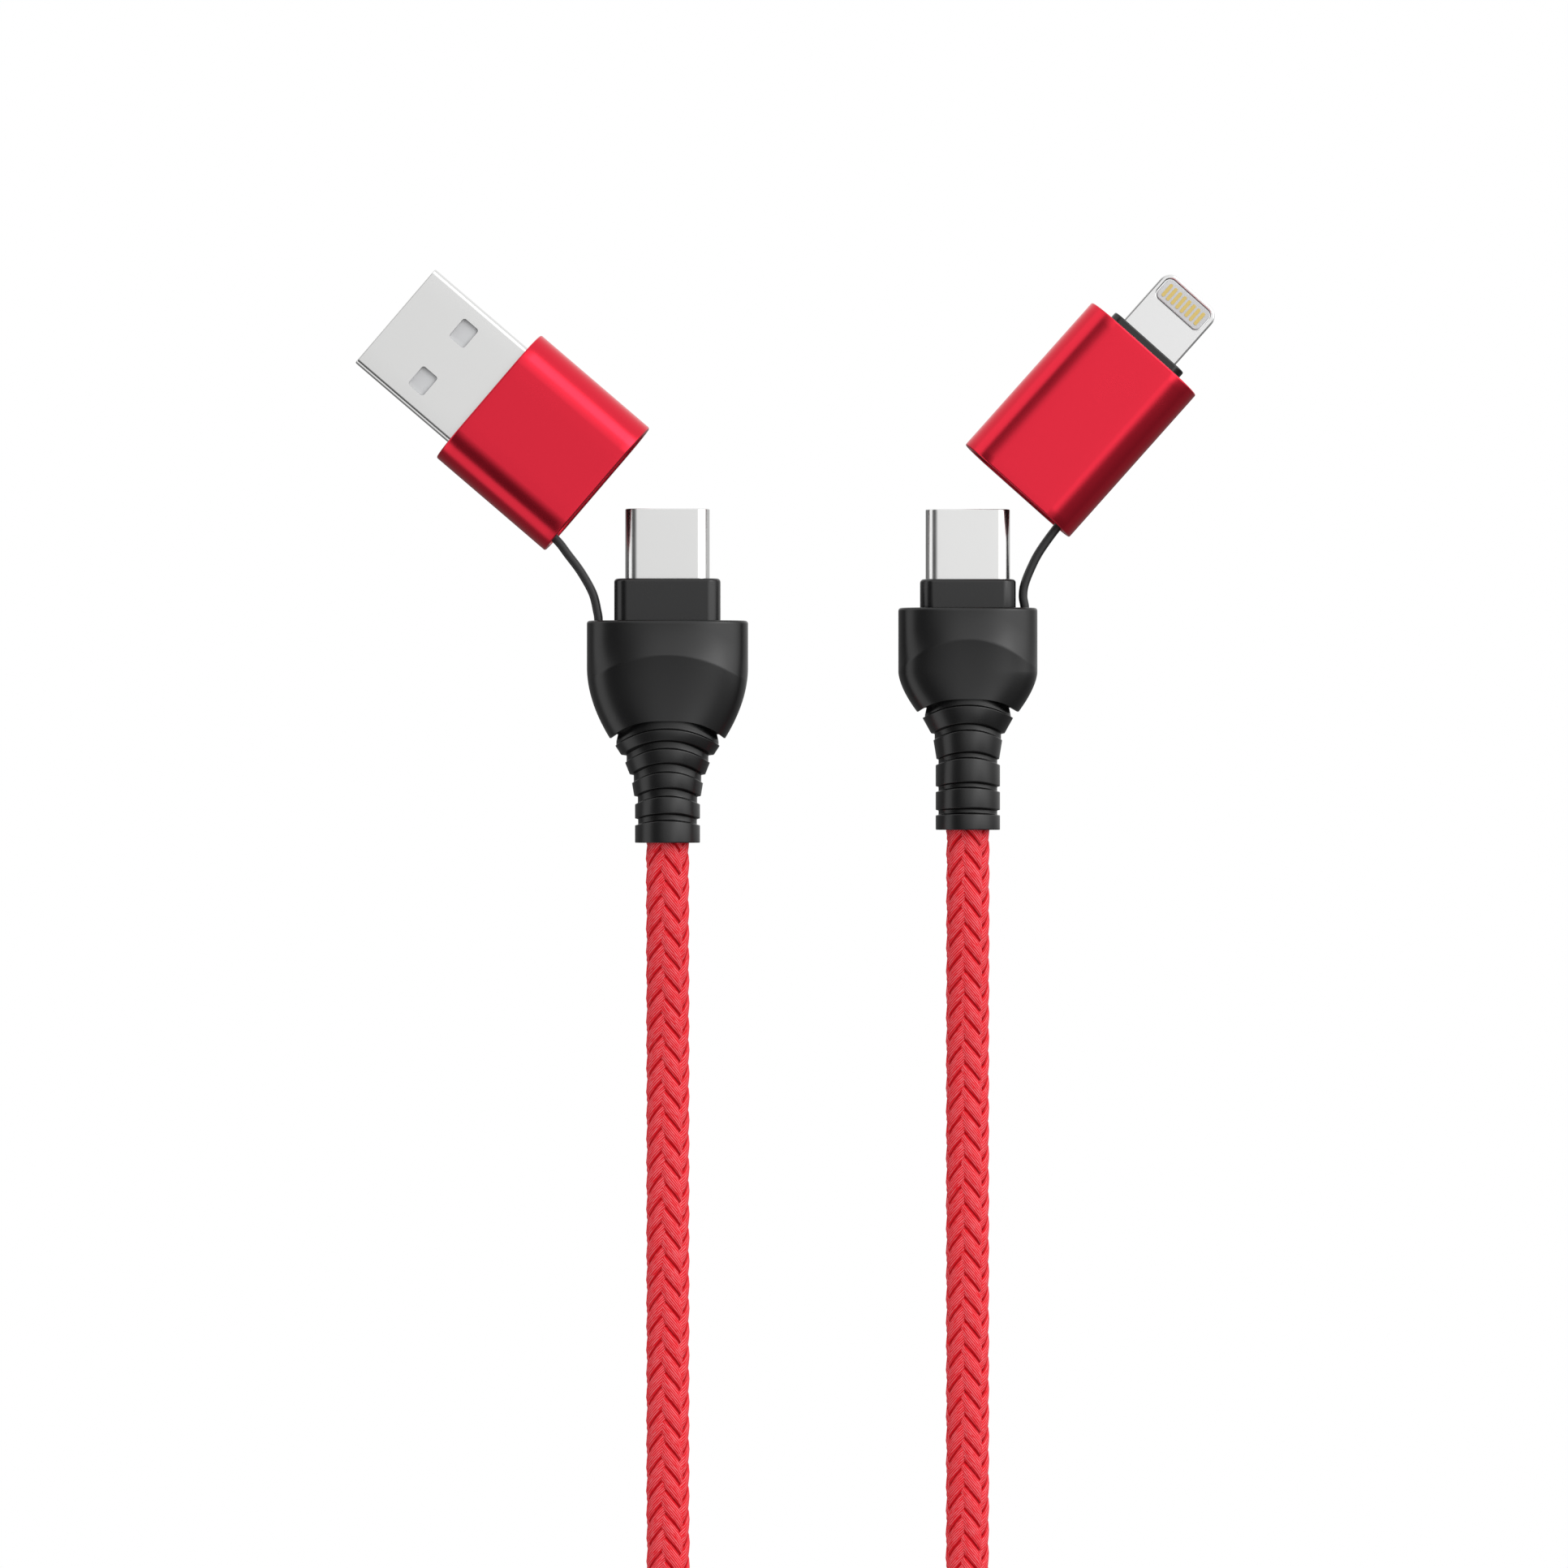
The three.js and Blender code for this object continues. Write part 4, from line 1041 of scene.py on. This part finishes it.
@dataclass
class HostAdapter(Adapter):
    """The host's adapter, with an A plug."""

    plug: tuple[float, float] = (12.0, 4.5)
    plug_wall: float = 0.3
    plug_corner: float = 0.5
    plug_back: float = 11.66
    plug_proud: float = 11.94
    window: tuple[float, float] = (2.36, 1.92)
    window_x: float = 3.06
    window_back: float = 6.19

    def build(self) -> None:
        """Builds the sleeve and the A plug's shell."""
        self.build_sleeve()
        self.build_shell()

    def build_shell(self) -> None:
        """The A plug's shell: a square tube of sheet with four windows punched through."""
        tip = self.length + self.plug_proud
        profile = tube_wall(self.plug_back, tip, self.plug_wall, 0.1)
        points = wall_tube(*self.plug, self.plug_corner, profile, 8)
        shell = skin_piece("host_a_plug", self.space.place(points), Slot.PLUG_STEEL, self.body,
                           "host_a_shell", tube=True)
        for side in (-1, 1):
            cutter = self.window_cutter(side * self.window_x, tip - self.window_back)
            cut = shell.modifiers.new("window", "BOOLEAN")
            cut.operation, cut.object, cut.solver = "DIFFERENCE", cutter, "EXACT"
            baked = bpy.data.meshes.new_from_object(
                shell.evaluated_get(bpy.context.evaluated_depsgraph_get()))
            shell.modifiers.clear()
            shell.data = baked
            bpy.data.objects.remove(cutter)
        shell.data.set_sharp_from_angle(angle=math.radians(30))
        flatten_shading(shell)

    def window_cutter(self, x: float, y: float) -> bpy.types.Object:
        """A block with rounded corners through the shell's faces, at x and y."""
        plan = rounded_outline(*self.window, 0.28, np.zeros(2), 5, 2)
        z = np.array([[-self.plug[1]], [self.plug[1]]]) + 0 * plan[..., 0]
        points = np.stack([plan[..., 0] + x, plan[..., 1] + y, z], axis=-1)
        mesh = bpy.data.meshes.new("window_cutter")
        mesh.from_pydata(self.space.place(points).reshape(-1, 3).tolist(), [],
                         capped_faces(2, plan.shape[1]))
        cutter = bpy.data.objects.new("window_cutter", mesh)
        bpy.context.scene.collection.objects.link(cutter)
        return face_outwards(cutter)


@dataclass
class PhoneAdapter(Adapter):
    """The phone's adapter, with an eight-pin plug."""

    cap: tuple[float, float, float] = (8.9, 3.6, 0.8)
    cap_radius: float = 1.1
    blade: tuple[float, float] = (6.7, 1.5)
    blade_proud: float = 6.6
    blade_corner: float = 1.3
    panel: tuple[float, float, float] = (5.5, 2.3, 0.6)
    panel_back: float = 0.5

    def build(self) -> None:
        """Builds the sleeve, the cap and the blade."""
        self.build_sleeve()
        self.build_cap()
        self.build_blade()

    def build_cap(self) -> None:
        """The black cap in the sleeve's mouth: a rounded bar with rounded edges."""
        width, height, proud = self.cap
        profile = solid_profile(self.length - 1.5, self.length + proud, 0.16, 0.6)
        points = wall_tube(width, height, self.cap_radius, profile)
        flatten_shading(skin_piece("phone_adapter_front_cap", self.space.place(points),
                                   Slot.BLACK_SATIN, self.body, "phone_adapter_cap"))

    def build_blade(self) -> None:
        """The blade's steel frame, and the panel in its window.

        The frame's profile goes round its outer edge and the window's edge, each point moved
        from the blade's outline to the window's. The panel is a plate in the window, set a
        little low so that the contacts stand proud of it.
        """
        tip = self.length + self.cap[2] + self.blade_proud
        back = self.length - 0.5
        middle = (tip + back) / 2
        half = self.blade[1] / 2
        edge = 0.18
        panel_y = tip - self.panel_back - self.panel[1] / 2
        round_edge = np.array([[-half, edge], [-half + 0.05, 0.06], [-half + edge, 0],
                               [half - edge, 0], [half - 0.05, 0.06], [half, edge]])
        outer = self.plate_rows(self.blade[0], tip - back, self.blade_corner, middle, round_edge)
        gap = 0.09
        rim = np.array([[half, -0.10], [half - 0.06, -0.02], [half - 0.4, 0.0],
                        [-half + 0.4, 0.0], [-half + 0.06, -0.02], [-half, -0.10]])
        window = self.plate_rows(self.panel[0] + 2 * gap, self.panel[1] + 2 * gap,
                                 self.panel[2] + gap, panel_y, rim)
        points = np.concatenate([outer, window])
        skin_piece("phone_eight_pin_blade", self.space.place(points), Slot.BRIGHT_STEEL,
                   self.body, "phone_eight_pin_frame", crease=8, tube=True)
        low = half - 0.03
        face = np.array([[-low, 0.3], [-low, 0.08], [-low + 0.08, 0], [low - 0.08, 0],
                         [low, 0.08], [low, 0.3]])
        panel = self.plate_rows(self.panel[0], self.panel[1], self.panel[2], panel_y, face)
        flatten_shading(skin_piece("phone_eight_pin_window", self.space.place(panel),
                                   Slot.INSULATOR_WHITE, self.body, "phone_eight_pin_panel"))

    def plate_rows(self, width: float, length: float, radius: float, y: float,
                   profile: Array) -> Array:
        """A rounded plan outline about y, repeated at each (z, inset) of a profile."""
        plan = rounded_outline(width, length, radius, profile[:, 1])
        z = np.repeat(profile[:, :1], plan.shape[1], axis=1)
        return np.stack([plan[..., 0], plan[..., 1] + y, z], axis=-1)


def host_adapter() -> HostAdapter:
    """The adapter with the A plug."""
    return HostAdapter(body="host_adapter", joint="host_adapter_swing", rest_degrees=49.4,
                       sleeve_start=9.03, pivot=(-7.58, 3.48), width=15.74, height=7.9,
                       radius=3.6, length=13.96, hole=(12.1, 4.6))


def phone_adapter() -> PhoneAdapter:
    """The adapter with the eight-pin plug."""
    return PhoneAdapter(body="phone_adapter", joint="phone_adapter_swing", rest_degrees=-41.7,
                        sleeve_start=8.56, pivot=(6.18, 3.66), width=13.6, height=7.0,
                        radius=3.3, length=18.63, hole=(9.0, 3.7))


def dress_frame_nodes() -> None:
    """Gives each CAD node that still shows the finish of its slot."""
    slots = {slot.slot_name: slot for slot in Slot}
    for row in frame["record"]["subparts"]:
        node = frame["nodes"][row["node"]]
        node.data.materials.clear()
        node.data.materials.append(slots[row["material_slot"]].material)


# ---------------------------------------------------------------------------
# The studio
# ---------------------------------------------------------------------------
@dataclass
class Studio:
    """A white table, a soft white surround with darker cards, and a long lens overhead."""

    view_width: float = 153.3
    from_host_axis: float = 11.39
    below_shoulder: float = 15.96
    lens: float = 200.0
    sensor: float = 36.0

    def build(self, head: Head) -> None:
        """Builds the camera, the table and the surround."""
        self.build_camera(head)
        self.build_table()
        self.build_surround()
        self.build_lamp()
        bpy.context.scene.view_settings.view_transform = "Standard"

    def build_camera(self, head: Head) -> None:
        """A camera straight above, far enough off for the frame's width at the heads' height."""
        x, y, z = head.space.origin
        data = bpy.data.cameras.new("overhead_camera")
        data.lens, data.sensor_width = self.lens, self.sensor
        data.clip_start, data.clip_end = 0.01, 10
        camera = bpy.data.objects.new("overhead_camera", data)
        away = self.view_width * self.lens / self.sensor
        camera.location = ((x + self.from_host_axis) * MM, (y - self.below_shoulder) * MM,
                           (z + away) * MM)
        bpy.context.scene.collection.objects.link(camera)
        bpy.context.scene.camera = camera

    def build_table(self) -> None:
        """A plain white table top just under the part.

        It glows where it is looked at, so it stays an even white, and lets the surround's light
        through to the object from below.
        """
        mesh = bpy.data.meshes.new("table")
        reach = 3.0
        mesh.from_pydata([(-reach, -reach, -0.0002), (reach, -reach, -0.0002),
                          (reach, reach, -0.0002), (-reach, reach, -0.0002)], [], [(0, 1, 2, 3)])
        table = bpy.data.objects.new("table", mesh)
        bpy.context.scene.collection.objects.link(table)
        graph = Surface("table_white")
        graph.tree.nodes.remove(graph.shader)
        glow = graph.node("ShaderNodeEmission", Color=(1, 1, 1, 1), Strength=1.0)
        clear = graph.node("ShaderNodeBsdfTransparent")
        seen = graph.node("ShaderNodeLightPath").outputs["Is Camera Ray"]
        both = graph.node("ShaderNodeMixShader", Fac=seen)
        graph.feed(both.inputs[1], clear.outputs[0])
        graph.feed(both.inputs[2], glow.outputs[0])
        graph.feed(graph.tree.nodes["Material Output"].inputs["Surface"], both.outputs[0])
        mesh.materials.append(graph.material)

    def build_surround(self) -> None:
        """A white surround with dark cards and bright panels.

        The level at a direction depends on its angle from overhead and on how far it points
        towards a compass direction. A soft dark card stands to the west with a bright strip
        below it, and a broad one to the south-east. A bright panel stands to the east, and a
        paler one high in the north. Below the horizon it is bright to the north and dark to the
        south.
        """
        world = bpy.data.worlds.new("studio")
        bpy.context.scene.world = world
        world.use_nodes = True
        graph = Graph(world.node_tree)
        where = graph.node("ShaderNodeTexCoord").outputs["Generated"]
        x, y, z = graph.split(where)
        polar = graph.math("ARCCOSINE", z) * (180 / math.pi)
        flat = (x * x + y * y + 1e-6).power(0.5)
        east, north = graph.math("DIVIDE", x, flat), graph.math("DIVIDE", y, flat)
        west = (0 - east).ramp(0.35, 0.6)
        card = polar.ramp(0, 26) * (1 - polar.ramp(52, 59)) * west
        strip = polar.ramp(52, 59) * (1 - polar.ramp(88, 94)) * west
        south_east = (east * 0.745 - north * 0.667).ramp(0.72, 0.92) * polar.ramp(14, 36)
        panel = east.ramp(0.72, 0.96) * polar.ramp(2, 20) * (1 - polar.ramp(60, 88))
        back = north.ramp(0.45, 0.9) * polar.ramp(2, 14) * (1 - polar.ramp(28, 50))
        south = (0 - north).ramp(0.55, 0.95) * polar.ramp(2, 14)
        level = 1 - card * 0.9 + strip * 0.25 + panel * 1.4 + back * 0.3 - south * 0.5
        level = level * (1 - south_east * 0.85)
        below = polar.ramp(86, 96)
        under = (north * 0.95 + east * 0.22).ramp(-0.15, 0.6) * 0.85 + 0.2
        level = level * (1 - below) + under * below
        background = world.node_tree.nodes["Background"]
        graph.feed(background.inputs["Strength"], graph.math("MAXIMUM", level, 0.04))
        background.inputs["Color"].default_value = (1, 1, 1, 1)

    def build_lamp(self) -> None:
        """A soft key lamp from the upper right."""
        data = bpy.data.lights.new("key_lamp", "AREA")
        data.size, data.energy = 0.4, 1.2
        lamp = bpy.data.objects.new("key_lamp", data)
        place = Vector((0.40, 0.36, 0.55))
        lamp.location = place
        lamp.rotation_euler = (-place).to_track_quat("-Z", "Y").to_euler()
        bpy.context.scene.collection.objects.link(lamp)


def main() -> None:
    """Builds the studio, the cord, the heads and the adapters, in that order."""
    logging.basicConfig(level=logging.INFO, format="%(name)s %(message)s")
    host, phone = host_head(), phone_head()
    Studio().build(host)
    Cord().build()
    dress_frame_nodes()
    for head in (host, phone):
        head.build()
    host_adapter().build()
    phone_adapter().build()


if __name__ == "__main__":
    main()
